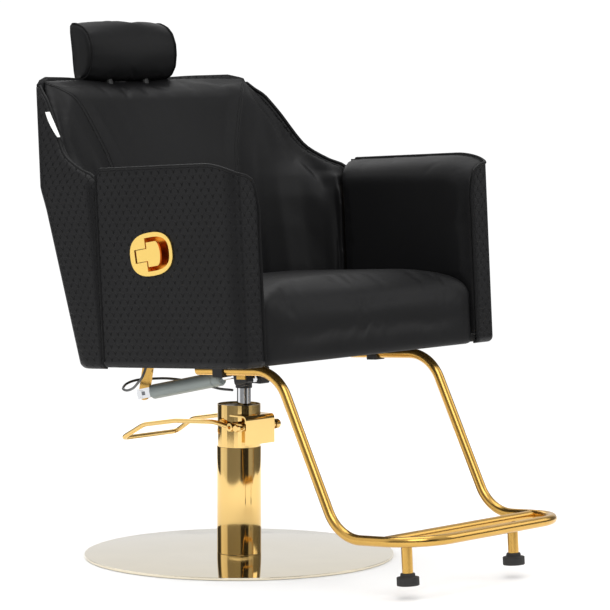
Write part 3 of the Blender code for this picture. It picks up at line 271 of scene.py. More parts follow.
def embossed_leather(name, colour, pitch):
    """Leather pressed with rows of overlapping scales, measured along its own surface, with painted
    shade in the grooves between them.
    """
    look = Look(name, colour, 0.46, specular=0.17)
    surface = look.add("ShaderNodeUVMap", {"uv_map": "surface"}).outputs[0]
    u, v, _ = look.axes(surface)
    u = u / pitch
    v = v / (pitch * 0.62)
    row = v.maths("FLOOR")
    rise = v - row

    def scale_height(shift, drop):
        side = (u + shift) % 1.0 - 0.5
        up = (rise - drop) * 0.62
        return (side * side + up * up).maths("SQRT")

    offset = (row % 2.0) * 0.5
    near = scale_height(offset, 0.0)
    inside = 1.0 - near.step(0.47, 0.50)
    slope = inside * (1.0 - rise) + (1.0 - inside) * (0.35 + (1.0 - rise) * 0.6)
    cusp = ((u + offset) % 1.0 - 0.5).maths("ABSOLUTE").step(0.26, 0.47)
    groove = (1.0 - (near - 0.485).maths("ABSOLUTE").step(0.0, 0.085)) * (0.22 + cusp * 0.78)
    rib = (u * 5.0 + offset * 5.0).maths("PINGPONG", 0.5) * 0.22
    height = slope * 0.8 + rib - groove * 0.9
    grain = look.cells(1100.0)
    cloud = look.noise(9.0, 3.0)
    # Painted shade: the grooves between the scales are darkened to a fifth of the leather's colour,
    # against one and a half times it on the scales' faces.
    groove_painted_shade = look.mix(groove, shade(colour, 1.5), shade(colour, 0.2))
    look.drive("Base Color", look.mix(cloud * 0.5, groove_painted_shade, shade(colour, 0.7)))
    look.drive("Roughness", 0.40 + groove * 0.25 + cloud * 0.10)
    look.bump(height + grain * 0.08, 0.0011, 0.8)
    return look.material


def polished_metal(name, colour, roughness=0.06):
    """Plated mirror finish with hairline polishing marks and faint smudges."""
    look = Look(name, colour, roughness, 1.0)
    hair = look.noise(420.0, 3.0, look.stretched((1.0, 1.0, 0.06)))
    smudge = look.noise(11.0, 4.0)
    look.drive("Base Color", look.mix(smudge, shade(colour, 0.94), shade(colour, 1.04)))
    look.drive("Roughness", roughness + smudge.step(0.45, 0.8) * 0.05 + hair * 0.02)
    look.bump(hair, 0.00002, 0.25)
    return look.material


def satin_metal(name, colour, roughness=0.24, bright=1.12):
    """Brushed and lacquered metal, a little worn and darker in places."""
    look = Look(name, colour, roughness, 1.0)
    brush = look.noise(900.0, 2.0, look.stretched((1.0, 0.08, 0.3)))
    patch = look.noise(18.0, 4.0)
    look.drive("Base Color", look.mix(patch, shade(colour, 0.90), shade(colour, bright)))
    look.drive("Roughness", roughness - 0.06 + patch * 0.06 + brush * 0.03)
    look.bump(brush, 0.00002, 0.3)
    return look.material


def painted(name, colour, roughness=0.42, metallic=0.0):
    """Powder coat with a fine orange-peel surface and rubbed high spots."""
    look = Look(name, colour, roughness, metallic)
    peel = look.noise(520.0, 2.0)
    wear = look.noise(40.0, 5.0).step(0.62, 0.80)
    look.drive("Base Color", look.mix(wear, shade(colour, 1.0), shade(colour, 1.7)))
    look.drive("Roughness", roughness + peel * 0.12 - wear * 0.10)
    look.bump(peel, 0.00012, 0.5)
    return look.material


def rubber(name):
    """Moulded rubber, matt with a dusty bloom."""
    look = Look(name, (0.016, 0.016, 0.016), 0.72)
    dust = look.noise(60.0, 6.0)
    look.drive("Base Color", look.mix(dust, (0.011, 0.011, 0.011, 1.0), (0.030, 0.029, 0.028, 1.0)))
    look.drive("Roughness", 0.62 + dust * 0.2)
    look.bump(look.noise(900.0, 2.0), 0.0001, 0.4)
    return look.material


def plywood(name):
    """Birch ply with growth lines along the board and stacked veneers at its edge."""
    look = Look(name, (0.45, 0.30, 0.16), 0.65)
    grain = look.noise(30.0, 5.0, look.stretched((0.15, 2.0, 1.0)), 0.8)
    _, _, height = look.axes()
    veneer = (height * 650.0).maths("PINGPONG", 1.0)
    tone = grain * 0.7 + veneer * 0.3
    look.drive("Base Color", look.mix(tone, (0.27, 0.16, 0.075, 1.0), (0.60, 0.42, 0.24, 1.0)))
    look.drive("Roughness", 0.55 + grain * 0.2)
    look.bump(grain, 0.0002, 0.4)
    return look.material


def tag_cloth(name):
    """White satin ribbon with a fine weave."""
    look = Look(name, (0.86, 0.86, 0.84), 0.5)
    _, y, z = look.axes()
    weave = (y * 2600.0).maths("SINE") * (z * 2600.0).maths("SINE")
    stain = look.noise(70.0, 3.0)
    look.drive("Base Color", look.mix(stain, (0.80, 0.80, 0.78, 1.0), (0.92, 0.92, 0.91, 1.0)))
    look.drive("Roughness", 0.45 + stain * 0.1)
    look.bump(weave, 0.00005, 0.4)
    return look.material


def handle_metal(name, colour):
    """Bright satin gold with painted shade that turns it a deep amber down inside the finger cup."""
    look = Look(name, colour, 0.28, 1.0)
    x, _, _ = look.axes()
    depth = x.step(-ARM_OUTER, 0.006 - ARM_OUTER)
    fleck = look.noise(1400.0, 2.0)
    # Painted shade: the gold turns a deep amber with depth into the finger cup.
    look.drive("Base Color", look.mix(depth, shade(colour, 1.0), (0.85, 0.30, 0.035, 1.0)))
    look.drive("Roughness", 0.30 + fleck * 0.08 - depth * 0.08)
    look.bump(fleck, 0.00005, 0.4)
    return look.material


MATERIALS = {}


def material(name):
    """Each finish is made once, when it is first asked for."""
    if name not in MATERIALS:
        s = settings()
        makers = {
            "leather": lambda: smooth_leather(name, s.leather),
            "piping": lambda: smooth_leather(name, shade(s.leather, 0.75)[:3], 1200.0),
            "emboss": lambda: embossed_leather(name, s.weave, s.weave_pitch),
            "thread": lambda: painted(name, (0.0016, 0.0016, 0.0017), 0.70),
            "mirror_gold": lambda: polished_metal(name, s.base_gold),
            "plated_disc": lambda: polished_metal(name, (0.86, 0.78, 0.62), 0.045),
            "satin_gold": lambda: satin_metal(name, s.tube_gold),
            "handle_gold": lambda: handle_metal(name, s.handle_gold),
            "chrome": lambda: polished_metal(name, (0.80, 0.81, 0.83), 0.05),
            "steel": lambda: satin_metal(name, (0.46, 0.46, 0.47), 0.34),
            "black_steel": lambda: painted(name, (0.013, 0.013, 0.014), 0.36, 0.3),
            "spring_paint": lambda: painted(name, s.spring_paint, 0.36, 0.25),
            "black_plastic": lambda: painted(name, (0.012, 0.012, 0.012), 0.38),
            "rubber": lambda: rubber(name),
            "plywood": lambda: plywood(name),
            "dust_cloth": lambda: rubber(name),
            "tag": lambda: tag_cloth(name),
        }
        MATERIALS[name] = makers[name]()
    return MATERIALS[name]


# ---------------------------------------------------------------- shape helpers

def place_piece(obj, body, stands_for=()):
    """Link a piece, ride it on its body and hide the frame solids it stands for."""
    bpy.context.collection.objects.link(obj)
    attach(obj, body)
    if stands_for:
        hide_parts(*stands_for)
    return obj


def piece(name, bm, look, body, stands_for=(), matrix=None, sharp=38.0):
    """Turn a bmesh into a finished piece that rides on a body."""
    bmesh.ops.remove_doubles(bm, verts=bm.verts, dist=1e-6)
    if matrix:
        bmesh.ops.transform(bm, matrix=matrix, verts=bm.verts)
    bmesh.ops.recalc_face_normals(bm, faces=bm.faces)
    mesh = bpy.data.meshes.new(name)
    bm.to_mesh(mesh)
    bm.free()
    mesh.shade_smooth()
    mesh.set_sharp_from_angle(angle=math.radians(sharp))
    mesh.materials.append(material(look))
    return place_piece(bpy.data.objects.new(name, mesh), body, stands_for)


def chain(bm, points, closed=False):
    """A run of vertices joined by edges."""
    verts = [bm.verts.new(point) for point in points]
    pairs = list(zip(verts, verts[1:]))
    if closed:
        pairs.append((verts[-1], verts[0]))
    return verts, [bm.edges.new(pair) for pair in pairs]


def spun(profile, steps=96, closed=False, centre=(0.0, 0.0, 0.0), axis="Z"):
    """Spin a profile of (radius, height) points about an axis."""
    bm = bmesh.new()
    verts, edges = chain(bm, [(r, 0.0, h) for r, h in profile], closed)
    bmesh.ops.spin(bm, geom=verts + edges, cent=(0, 0, 0), axis=(0, 0, 1), angle=2 * math.pi,
                   steps=steps, use_merge=True)
    turn = {"Z": Matrix.Identity(4), "X": Matrix.Rotation(math.pi / 2, 4, "Y"),
            "Y": Matrix.Rotation(-math.pi / 2, 4, "X")}[axis]
    bmesh.ops.transform(bm, matrix=Matrix.Translation(centre) @ turn, verts=bm.verts)
    return bm


def rounded_profile(points, radius, steps=4):
    """Round the inner corners of an open (radius, height) profile."""
    path = filleted([(r, h, 0.0) for r, h in points], [radius] * (len(points) - 2), steps)
    return [(p.x, p.y) for p in path]


def plate(outline, low, high, bevel=0.0, segments=3):
    """Extrude a flat (y, z) outline along X and round its rims."""
    bm = bmesh.new()
    verts, _ = chain(bm, [(low, y, z) for y, z in outline], True)
    face = bm.faces.new(verts)
    result = bmesh.ops.extrude_face_region(bm, geom=[face])
    moved = [v for v in result["geom"] if isinstance(v, bmesh.types.BMVert)]
    bmesh.ops.translate(bm, vec=(high - low, 0.0, 0.0), verts=moved)
    if bevel:
        rims = [e for e in bm.edges if abs(e.verts[0].co.x - e.verts[1].co.x) < 1e-7]
        bmesh.ops.bevel(bm, geom=rims, offset=bevel, segments=segments, profile=0.5, affect="EDGES",
                        material=-1)
    return bm


def drawn_sheet(rows, marks):
    """Draw a row of points upward through further rows; marks are their flat (u, v) places."""
    bm = bmesh.new()
    surface = bm.loops.layers.uv.new("surface")
    verts, edges = chain(bm, rows[0])
    flat = dict(zip(verts, marks[0]))
    for row, mark in zip(rows[1:], marks[1:]):
        result = bmesh.ops.extrude_edge_only(bm, edges=edges)["geom"]
        fresh = {v for v in result if isinstance(v, bmesh.types.BMVert)}
        above = []
        for v in verts:
            above.append(next(e.other_vert(v) for e in v.link_edges if e.other_vert(v) in fresh))
        for v, point, place in zip(above, row, mark):
            v.co = point
            flat[v] = place
        edges = [next(e for e in a.link_edges if e.other_vert(a) is b)
                 for a, b in zip(above, above[1:])]
        verts = above
    for face in bm.faces:
        for loop in face.loops:
            loop[surface].uv = flat[loop.vert]
    return bm


def filleted(points, radii, steps):
    """Round each inner corner of a 3-D polyline with an arc of its radius."""
    corners = [Vector(p) for p in points]
    path = [corners[0]]
    for before, corner, after, radius in zip(corners, corners[1:], corners[2:], radii):
        back = (before - corner).normalized()
        ahead = (after - corner).normalized()
        half = back.angle(ahead) / 2
        if math.pi / 2 - half < 1e-3:
            path.append(corner)
            continue
        reach = radius / math.tan(half)
        centre = corner + (back + ahead).normalized() * (radius / math.sin(half))
        first = corner + back * reach - centre
        last = corner + ahead * reach - centre
        sweep = first.angle(last)
        for k in range(steps + 1):
            t = k / steps
            blend = first * math.sin((1 - t) * sweep) + last * math.sin(t * sweep)
            path.append(centre + blend / math.sin(sweep))
    path.append(corners[-1])
    return path


def flowing(points, steps=8, closed=False):
    """Catmull-Rom curve through a route's points."""
    route = [Vector(p) for p in points]
    if closed:
        route = [route[-1]] + route + route[:2]
    else:
        route = [route[0] * 2 - route[1]] + route + [route[-1] * 2 - route[-2]]
    result = []
    for a, b, c, d in zip(route, route[1:], route[2:], route[3:]):
        for k in range(steps):
            t = k / steps
            result.append(0.5 * (2 * b + (c - a) * t + (2 * a - 5 * b + 4 * c - d) * t * t
                                 + (3 * b - a - 3 * c + d) * t ** 3))
    if not closed:
        result.append(route[-2])
    return result


def evenly(path, spacing):
    """Points a fixed distance apart along a path."""
    result = [path[0]]
    left = spacing
    for a, b in zip(path, path[1:]):
        span = (b - a).length
        walked = 0.0
        while span - walked >= left and span > 0:
            walked += left
            result.append(a.lerp(b, walked / span))
            left = spacing
        left -= span - walked
    return result


def arc(centre, radius, start, end, steps):
    """Points on an arc; radius may be one number or an (a, b) pair for an ellipse."""
    a, b = radius if isinstance(radius, tuple) else (radius, radius)
    points = []
    for k in range(steps + 1):
        angle = math.radians(start + (end - start) * k / steps)
        points.append((centre[0] + a * math.cos(angle), centre[1] + b * math.sin(angle)))
    return points


def strand(name, paths, radius, look, body, stands_for=(), closed=False, detail=4):
    """A round strand, or several, along given paths."""
    curve = bpy.data.curves.new(name, "CURVE")
    curve.dimensions = "3D"
    curve.bevel_depth = radius
    curve.bevel_resolution = detail
    curve.use_fill_caps = True
    for path in paths:
        spline = curve.splines.new("POLY")
        spline.points.add(len(path) - 1)
        spline.use_cyclic_u = closed
        spline.use_smooth = True
        for slot_point, point in zip(spline.points, path):
            slot_point.co = (*point, 1.0)
    curve.materials.append(material(look))
    return place_piece(bpy.data.objects.new(name, curve), body, stands_for)


def in_seat(points):
    """The seat's own coordinates carried into the frame."""
    return [SEAT @ Vector(p) for p in points]


def repaint(look, *nodes):
    """Give frame solids that need no new shape their finish."""
    for node in nodes:
        mesh = NODES[node].data
        mesh.materials.clear()
        mesh.materials.append(material(look))


# ---------------------------------------------------------------- soft pieces

def solid_copy(node):
    """A frame solid's mesh with its loose corners merged."""
    bm = bmesh.new()
    bm.from_mesh(NODES[node].data)
    bmesh.ops.remove_doubles(bm, verts=bm.verts, dist=1e-5)
    return bm


def swell(obj):
    """Where a short cloth simulation with inner pressure carries each point of a closed mesh."""
    scene = bpy.context.scene
    cloth = obj.modifiers.new("Inflate", "CLOTH")
    cloth.settings.quality = 4
    cloth.settings.use_pressure = True
    cloth.settings.uniform_pressure_force = 4.0
    cloth.settings.effector_weights.gravity = 0.0
    cloth.settings.tension_stiffness = 12.0
    cloth.settings.compression_stiffness = 12.0
    cloth.settings.bending_stiffness = 0.8
    cloth.collision_settings.use_collision = False
    cloth.point_cache.frame_start = 1
    cloth.point_cache.frame_end = 20
    for number in range(1, 21):
        scene.frame_set(number)
    baked = obj.evaluated_get(bpy.context.evaluated_depsgraph_get())
    result = [v.co.copy() for v in baked.data.vertices]
    obj.modifiers.remove(cloth)
    scene.frame_set(1)
    return result


def nearest_of(point, others):
    return min((point - other).length for other in others)


def upholstered(name, bm, voxel, cap, look, body, node, guards=(), pins=(), reach=0.035,
                smoothing=6):
    """Voxel remesh, inflate and cap a closed shape, held still near its neighbours and its seams."""
    mesh = bpy.data.meshes.new(name)
    bm.to_mesh(mesh)
    bm.free()
    obj = bpy.data.objects.new(name, mesh)
    bpy.context.collection.objects.link(obj)
    remesh = obj.modifiers.new("Remesh", "REMESH")
    remesh.mode = "VOXEL"
    remesh.voxel_size = voxel
    soften = obj.modifiers.new("Soften", "SMOOTH")
    soften.factor = 0.5
    soften.iterations = smoothing
    bpy.context.view_layer.update()
    built = bpy.data.meshes.new_from_object(obj.evaluated_get(bpy.context.evaluated_depsgraph_get()))
    obj.modifiers.clear()
    obj.data = built
    rest = [v.co.copy() for v in built.vertices]
    moved = swell(obj)
    fences = [BVHTree.FromBMesh(solid_copy(guard)) for guard in guards]
    seams = [Vector(p) for path in pins for p in path]
    for vertex, start, end in zip(built.vertices, rest, moved):
        hold = 1.0
        for fence in fences:
            distance = fence.find_nearest(start)[3]
            hold = min(hold, max(0.0, (distance - 0.0035) / 0.022))
        if seams:
            hold = min(hold, (nearest_of(start, seams) / reach) ** 0.6)
        step = (end - start) * hold
        if step.length > cap * hold:
            step *= cap * hold / step.length
        vertex.co = start + step
    built.shade_smooth()
    built.materials.clear()
    built.materials.append(material(look))
    bpy.context.collection.objects.unlink(obj)
    place_piece(obj, body, (node,))
    return obj


def settled(path, obj, lift):
    """Lay a path on a piece's surface, raised by lift."""
    depsgraph = bpy.context.evaluated_depsgraph_get()
    tree = BVHTree.FromObject(obj, depsgraph)
    result = []
    for point in path:
        place, normal, _, _ = tree.find_nearest(point)
        result.append(place + normal * lift)
    return result


def stitches(path, length, gap):
    """Short dashes along a path."""
    points = evenly(path, length / 3)
    skip = 3 + max(1, round(gap / (length / 3)))
    return [points[k:k + 4] for k in range(0, len(points) - 4, skip)]


# ---------------------------------------------------------------- back's surfaces

def table(value, rows):
    """Straight-line reading of a short table."""
    if value <= rows[0][0]:
        return rows[0][1]
    for (a, low), (b, high) in zip(rows, rows[1:]):
        if value <= b:
            return low + (high - low) * (value - a) / (b - a)
    return rows[-1][1]


def smooth_table(value, rows):
    """Smooth reading of a short table, with each row's slope taken from its two neighbours."""
    last = len(rows) - 1
    value = min(max(value, rows[0][0]), rows[-1][0])
    k = next(i for i in range(last) if value <= rows[i + 1][0])
    slopes = []
    for i in (k, k + 1):
        before, after = rows[max(i - 1, 0)], rows[min(i + 1, last)]
        slopes.append((after[1] - before[1]) / (after[0] - before[0]))
    (a, low), (b, high) = rows[k], rows[k + 1]
    span = b - a
    t = (value - a) / span
    ease = t * t * (3 - 2 * t)
    bend = slopes[0] * t * (1 - t) ** 2 - slopes[1] * t * t * (1 - t)
    return low + (high - low) * ease + bend * span


def half_width(z):
    """X of the side panel's outer face: upright by the arm, then leaning in above it."""
    return ARM_OUTER - 0.0010 - max(0.0, z - 0.340) * 0.321


def front_edge(z):
    """Y of the side panel's front edge: upright by the arm, then sweeping back above it."""
    rows = [(0.0, 0.006), (0.320, 0.006), (0.3543, 0.0122), (0.3699, 0.0539), (0.3939, 0.1000),
            (0.4141, 0.1203), (0.4697, 0.1558), (0.5195, 0.1936), (BACK_TOP, 0.2140)]
    return smooth_table(z, rows)


def rear_curve(z, skin, steps=10):
    """Right half of the back's plan, from the side's front edge to the middle of the rear."""
    wide = half_width(z)
    corner = table(z, [(0.300, 0.050), (BACK_TOP, 0.016)])
    rear = 0.094 + 0.25 * z
    start = front_edge(z)
    low = rear - corner
    points = [(wide - skin, start + (low - start) * k / 4) for k in range(4)]
    points += arc((wide - corner, low), corner - skin, 0, 90, steps)
    for k in range(1, 13):
        x = (wide - corner) * (1 - k / 12)
        bulge = BACK_BULGE * (1 - (x / (wide - corner)) ** 2)
        points.append((x, rear + bulge - skin))
    return points


def whole(points):
    """Both halves of a plan whose last point is on the middle line."""
    return points + [(-x, y) for x, y in reversed(points[:-1])]


EASED_FROM = 0.5000              # height above which the back's top is reshaped
DIP_HALF = 0.1700               # half the width of that dip


def eased(point):
    """Round the back's top corners and let its top dip in the middle, in the seat's frame."""
    x, y, z = point
    near_top = min(1.0, max(0.0, (z - EASED_FROM) / (BACK_TOP - EASED_FROM)))
    inside = min(TOP_CORNER, max(0.0, half_width(z) - BACK_SKIN - abs(x)))
    fall = TOP_CORNER - math.sqrt(TOP_CORNER ** 2 - (TOP_CORNER - inside) ** 2)
    fall += TOP_DIP * max(0.0, 1.0 - (x / DIP_HALF) ** 2)
    return Vector((x, y, z - fall * near_top * near_top * (3.0 - 2.0 * near_top)))


def moulded(bm, shape):
    """Carry a mesh's points through a function that works in the seat's own frame."""
    to_seat = SEAT.inverted()
    for vert in bm.verts:
        vert.co = SEAT @ shape(to_seat @ vert.co)
    return bm


def sliced(bm, axis, places):
    """Cut a mesh across one of the seat's axes, so that it can be bent between the cuts."""
    across = SEAT.to_3x3() @ axis
    for place in places:
        bmesh.ops.bisect_plane(bm, geom=bm.verts[:] + bm.edges[:] + bm.faces[:], dist=1e-6,
                               plane_co=SEAT @ (axis * place), plane_no=across)
    return bm


def rolled_edge(bottom):
    """(height, inset) pairs up the quarter circle of a panel's rolled lower edge."""
    steps = 6
    turns = [math.pi / 2 * k / steps for k in range(steps)]
    return [(bottom + ROLL * (1 - math.cos(turn)), ROLL * (1 - math.sin(turn))) for turn in turns]


def run_marks(rows):
    """Flat places of a sheet's points: along each row from its middle, and up the middle column."""
    marks = []
    height = 0.0
    for index, row in enumerate(rows):
        middle = len(row) // 2
        if index:
            height += (Vector(row[middle]) - Vector(rows[index - 1][middle])).length
        along = [0.0]
        for a, b in zip(row, row[1:]):
            along.append(along[-1] + (Vector(b) - Vector(a)).length)
        marks.append([(value - along[middle], height) for value in along])
    return marks


# ---------------------------------------------------------------- operators

# Brightness of the studio's walls round the horizon, from behind -X by way of -Y, +X and +Y
WALLS = [(0.00, 0.28), (0.13, 0.30), (0.15, 0.03), (0.25, 0.03), (0.27, 0.50), (0.32, 0.45),
         (0.35, 0.20), (0.52, 0.14), (0.56, 0.80), (0.68, 0.80), (0.71, 0.05), (0.80, 0.05),
         (0.83, 1.10), (0.93, 0.90), (0.95, 0.28), (1.00, 0.28)]


class CHAIR_OT_stage(bpy.types.Operator):
    """Add the pale floor, the soft studio light and the camera."""
    bl_idname = "chair.stage"
    bl_label = "Stage"

    def execute(self, context):
        look = Look("studio_floor", settings().floor, 0.9, specular=0.1)
        bm = bmesh.new()
        bmesh.ops.create_grid(bm, x_segments=1, y_segments=1, size=FLOOR_HALF)
        mesh = bpy.data.meshes.new("studio_floor")
        bm.to_mesh(mesh)
        bm.free()
        mesh.materials.append(look.material)
        floor = bpy.data.objects.new("studio_floor", mesh)
        floor.location.z = -0.0002
        context.collection.objects.link(floor)
        self.light(context)
        self.sky(context)
        self.camera(context)
        return {"FINISHED"}

    def light(self, context):
        lamps = [
            ("key_light", (-2.2, -2.6, 3.0), 2.4, 48.0),
            ("fill_light", (2.8, -2.4, 2.2), 2.2, 22.0),
            ("top_light", (0.3, 0.4, 3.4), 2.6, 30.0),
            ("rear_light", (1.2, 3.0, 2.4), 1.8, 20.0),
        ]
        for name, place, size, power in lamps:
            lamp = bpy.data.lights.new(name, "AREA")
            lamp.shape = "SQUARE"
            lamp.size = size
            lamp.energy = power
            obj = bpy.data.objects.new(name, lamp)
            obj.location = place
            aim = Vector((0.0, 0.0, 0.5)) - Vector(place)
            obj.rotation_euler = aim.to_track_quat("-Z", "Y").to_euler()
            context.collection.objects.link(obj)

    def sky(self, context):
        """White to look at; as a reflection, light walls with darker gaps between them."""
        world = bpy.data.worlds.new("studio")
        context.scene.world = world
        world.use_nodes = True
        nodes, links = world.node_tree.nodes, world.node_tree.links
        back = nodes["Background"]
        coords = nodes.new("ShaderNodeTexCoord")
        split = nodes.new("ShaderNodeSeparateXYZ")
        links.new(coords.outputs["Generated"], split.inputs[0])
        turn = nodes.new("ShaderNodeMath")
        turn.operation = "ARCTAN2"
        links.new(split.outputs["Y"], turn.inputs[0])
        links.new(split.outputs["X"], turn.inputs[1])
        scale = nodes.new("ShaderNodeMapRange")
        scale.inputs["From Min"].default_value = -math.pi
        scale.inputs["From Max"].default_value = math.pi
        links.new(turn.outputs[0], scale.inputs["Value"])
        walls = nodes.new("ShaderNodeValToRGB")
        ramp(walls.color_ramp, [
            (position, shade((1.0, 1.0, 1.0), level)) for position, level in WALLS
        ])
        links.new(scale.outputs[0], walls.inputs[0])
        above = nodes.new("ShaderNodeMapRange")
        above.inputs["From Min"].default_value = 0.45
        above.inputs["From Max"].default_value = 0.85
        links.new(split.outputs["Z"], above.inputs["Value"])
        roof = nodes.new("ShaderNodeMix")
        roof.data_type = "RGBA"
        links.new(above.outputs[0], roof.inputs[0])
        links.new(walls.outputs[0], roof.inputs[6])
        roof.inputs[7].default_value = shade((1.0, 1.0, 1.0), 0.95)
        ray = nodes.new("ShaderNodeLightPath")
        seen = nodes.new("ShaderNodeMix")
        seen.data_type = "RGBA"
        links.new(ray.outputs["Is Glossy Ray"], seen.inputs[0])
        seen.inputs[6].default_value = shade((1.0, 1.0, 1.0), 1.05)
        links.new(roof.outputs[2], seen.inputs[7])
        links.new(seen.outputs[2], back.inputs["Color"])
        back.inputs["Strength"].default_value = 1.0
        context.scene.view_settings.view_transform = "Standard"

    def camera(self, context):
        eye = bpy.data.cameras.new("studio_camera")
        eye.lens = 188.7
        eye.sensor_width = 36.0
        obj = bpy.data.objects.new("studio_camera", eye)
        obj.location = (-4.490, -4.207, 1.0066)
        obj.rotation_euler = (math.radians(90 - 4.826), 0.0, -math.radians(46.864 + 1.19))
        context.collection.objects.link(obj)
        context.scene.camera = obj


SLEEVE_WALL = 0.0013


class CHAIR_OT_base(bpy.types.Operator):
    """Build the mirror disc, the pump's lower sleeve and the lift rod, and finish the pump's other
    parts.
    """
    bl_idname = "chair.base"
    bl_label = "Base and pump"

    def execute(self, context):
        low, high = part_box("base_cover")
        radius, top = high[0], high[2]
        edge = rounded_profile([(radius - 0.0012, 0.0008), (radius, 0.0008), (radius, top),
                                (0.30 * radius, top)], 0.0007)
        profile = edge + [(0.002, top), (0.002, top - 0.0010), (radius - 0.0012, top - 0.0010)]
        piece("mirror_disc", spun(profile, 192, True), "plated_disc", "base", ("base_cover",))
        self.sleeve()
        repaint("mirror_gold", "pedal_bracket", "pump_head_sleeve")
        repaint("steel", "base_plate", "pump_foot_flange", "reservoir_tube", "cylinder_barrel",
                "plunger_spring", "pump_plunger", "piston_head", "base_bolt_1", "base_bolt_2",
                "base_bolt_3", "base_bolt_4")
        repaint("black_steel", "pump_head_block")
        repaint("rubber", "rod_wiper_seal")
        self.rod()
        return {"FINISHED"}

    def sleeve(self):
        """Turn the pump's outer tube with softly rounded rims."""
        low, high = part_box("pump_sleeve")
        radius, bottom, top = high[0], low[2], high[2]
        inside = radius - SLEEVE_WALL
        profile = rounded_profile([(inside, top), (radius, top), (radius, bottom), (inside, bottom)],
                                  0.0005)
        piece("lower_sleeve", spun(profile, 96, True), "mirror_gold", "base",
              ("pump_sleeve",))

    def rod(self):
        """Turn the chrome rod that carries the seat."""
        low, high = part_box("piston_rod")
        radius = (high[0] - low[0]) / 2
        middle = (low[1] + high[1]) / 2
        profile = [(0.0, low[2]), (radius, low[2]), (radius, high[2]), (0.0, high[2])]
        piece("lift_rod", spun(profile, 64, centre=(0.0, middle, 0.0)), "chrome", "lift",
              ("piston_rod",))


PEDAL_AXIS = (0.0, -0.0478, 0.2560)
PEDAL_LEG = [(0.0500, 0.0280, 0.0010), (0.0550, 0.0630, 0.0080), (0.0620, 0.1600, 0.0030),
             (0.0700, 0.2375, -0.0100), (0.0765, 0.2920, -0.0410)]
PEDAL_BENDS = [0.080, 0.100, 0.050, 0.011]


class CHAIR_OT_pedal(bpy.types.Operator):
    """Bend the pedal's wire, turn its eyes and cut its ear plates."""
    bl_idname = "chair.pedal"
    bl_label = "Foot pedal"

    def execute(self, context):
        place = Matrix.Translation(PEDAL_AXIS)
        near = [(-x, y, z) for x, y, z in PEDAL_LEG]
        path = filleted(near + PEDAL_LEG[::-1], PEDAL_BENDS + PEDAL_BENDS[::-1], 14)
        strand("pedal_wire", [[place @ p for p in path]], 0.0047, "mirror_gold", "pedal",
               ("pedal_loop",), detail=7)
        for side, label in ((1, "left"), (-1, "right")):
            eye = rounded_profile([(0.0036, 0.0042), (0.0082, 0.0042), (0.0082, -0.0042),
                                   (0.0036, -0.0042)], 0.0009)
            bm = spun(eye, 48, True, (side * 0.0500, 0.0230, 0.0), "X")
            piece(f"pedal_eye_{label}", bm, "mirror_gold", "pedal", matrix=place)
            outline = (arc((0.0230, 0.0), 0.0075, -90, 90, 16)
                       + arc((0.0, 0.0), 0.0075, 90, 270, 16))
            span = sorted((side * 0.0413, side * 0.0464))
            piece(f"pedal_ear_{label}", plate(outline, *span, 0.0008), "mirror_gold", "pedal",
                  matrix=place)
        repaint("mirror_gold", "pedal_axle")
        return {"FINISHED"}


CABLE_ROUTE = [
    (-0.3365, -0.1200, 0.1680), (-0.3365, -0.1100, 0.1000), (-0.3365, -0.0920, 0.0300),
    (-0.3320, -0.0700, -0.0100), (-0.3120, -0.0330, -0.0290), (-0.2850, 0.0070, -0.0410),
    (-0.2580, 0.0500, -0.0480), (-0.2330, 0.0860, -0.0470), (-0.2080, 0.1010, -0.0400),
    (-0.1830, 0.0990, -0.0350), (-0.1650, 0.0750, -0.0335), (-0.1600, 0.0350, -0.0330),
    (-0.1600, -0.0150, -0.0370), (-0.1660, -0.0700, -0.0440), (-0.1760, -0.1120, -0.0490),
    (-0.1870, -0.1560, -0.0500),
]
CABLE_DIAMETER = 0.0048


class CHAIR_OT_cable(bpy.types.Operator):
    """Lay the release cable from the handle's cup to the gas spring's head."""
    bl_idname = "chair.cable"
    bl_label = "Release cable"

    def execute(self, context):
        path = in_seat(flowing(CABLE_ROUTE, 6))
        cable = strand("release_sheath", [path], CABLE_DIAMETER / 2, "black_plastic", "seat",
                       ("release_cable",), detail=4)
        return {"FINISHED"}


class CHAIR_OT_under_seat(bpy.types.Operator):
    """Finish the gas spring and the metalwork under the seat."""
    bl_idname = "chair.under_seat"
    bl_label = "Gas spring and seat metalwork"

    def execute(self, context):
        repaint("black_steel", "seat_socket", "mounting_plate", "release_head", "release_lever",
                "footrest_clamp_left", "footrest_clamp_right")
        repaint("chrome", "socket_clamp_screw", "gas_spring_clevis", "gas_spring_rod")
        repaint("satin_gold", "hinge_bar_left", "hinge_bar_right", "back_frame", "recline_lever",
                "gas_spring_bracket")
        repaint("dust_cloth", "seat_board")
        repaint("plywood", "arm_core_left", "arm_core_right")
        front, rear, outer, hole = 0.0615, 0.24625, 0.0140, 0.0053
        bore, pin = 0.0118, 0.0020
        shell = [(hole, front), (outer - 0.0030, front), (outer, front + 0.0030),
                 (outer, rear - 0.0040), (outer - 0.0040, rear), (pin, rear), (pin, rear - 0.0070),
                 (bore, rear - 0.0070), (bore, front + 0.0100), (hole, front + 0.0100)]
        piece("gas_cylinder", spun(shell, 64, True, axis="Y"), "spring_paint", "spring_body",
              ("gas_spring_body",), SPRING)
        mark = front + 0.0180
        collar = rounded_profile([(outer + 0.0002, mark), (outer + 0.0007, mark),
                                  (outer + 0.0007, mark + 0.0015), (outer + 0.0002, mark + 0.0015)],
                                 0.0002)
        piece("cylinder_roll_mark", spun(collar, 64, True, axis="Y"), "spring_paint", "spring_body",
              (), SPRING)
        return {"FINISHED"}


FOOTREST_X = 0.2180
TUBE_RADIUS = 0.0095
FOOTREST_SIDE = [(FOOTREST_X, -0.1000, -0.0105), (FOOTREST_X, -0.2990, -0.0105),
                 (FOOTREST_X, -0.4316, -0.3120), (FOOTREST_X, -0.6226, -0.3120)]
FOOTREST_BENDS = [0.0780, 0.0800, 0.0870]
CROSSBAR_Y = -0.5350
LEG_X = 0.1527


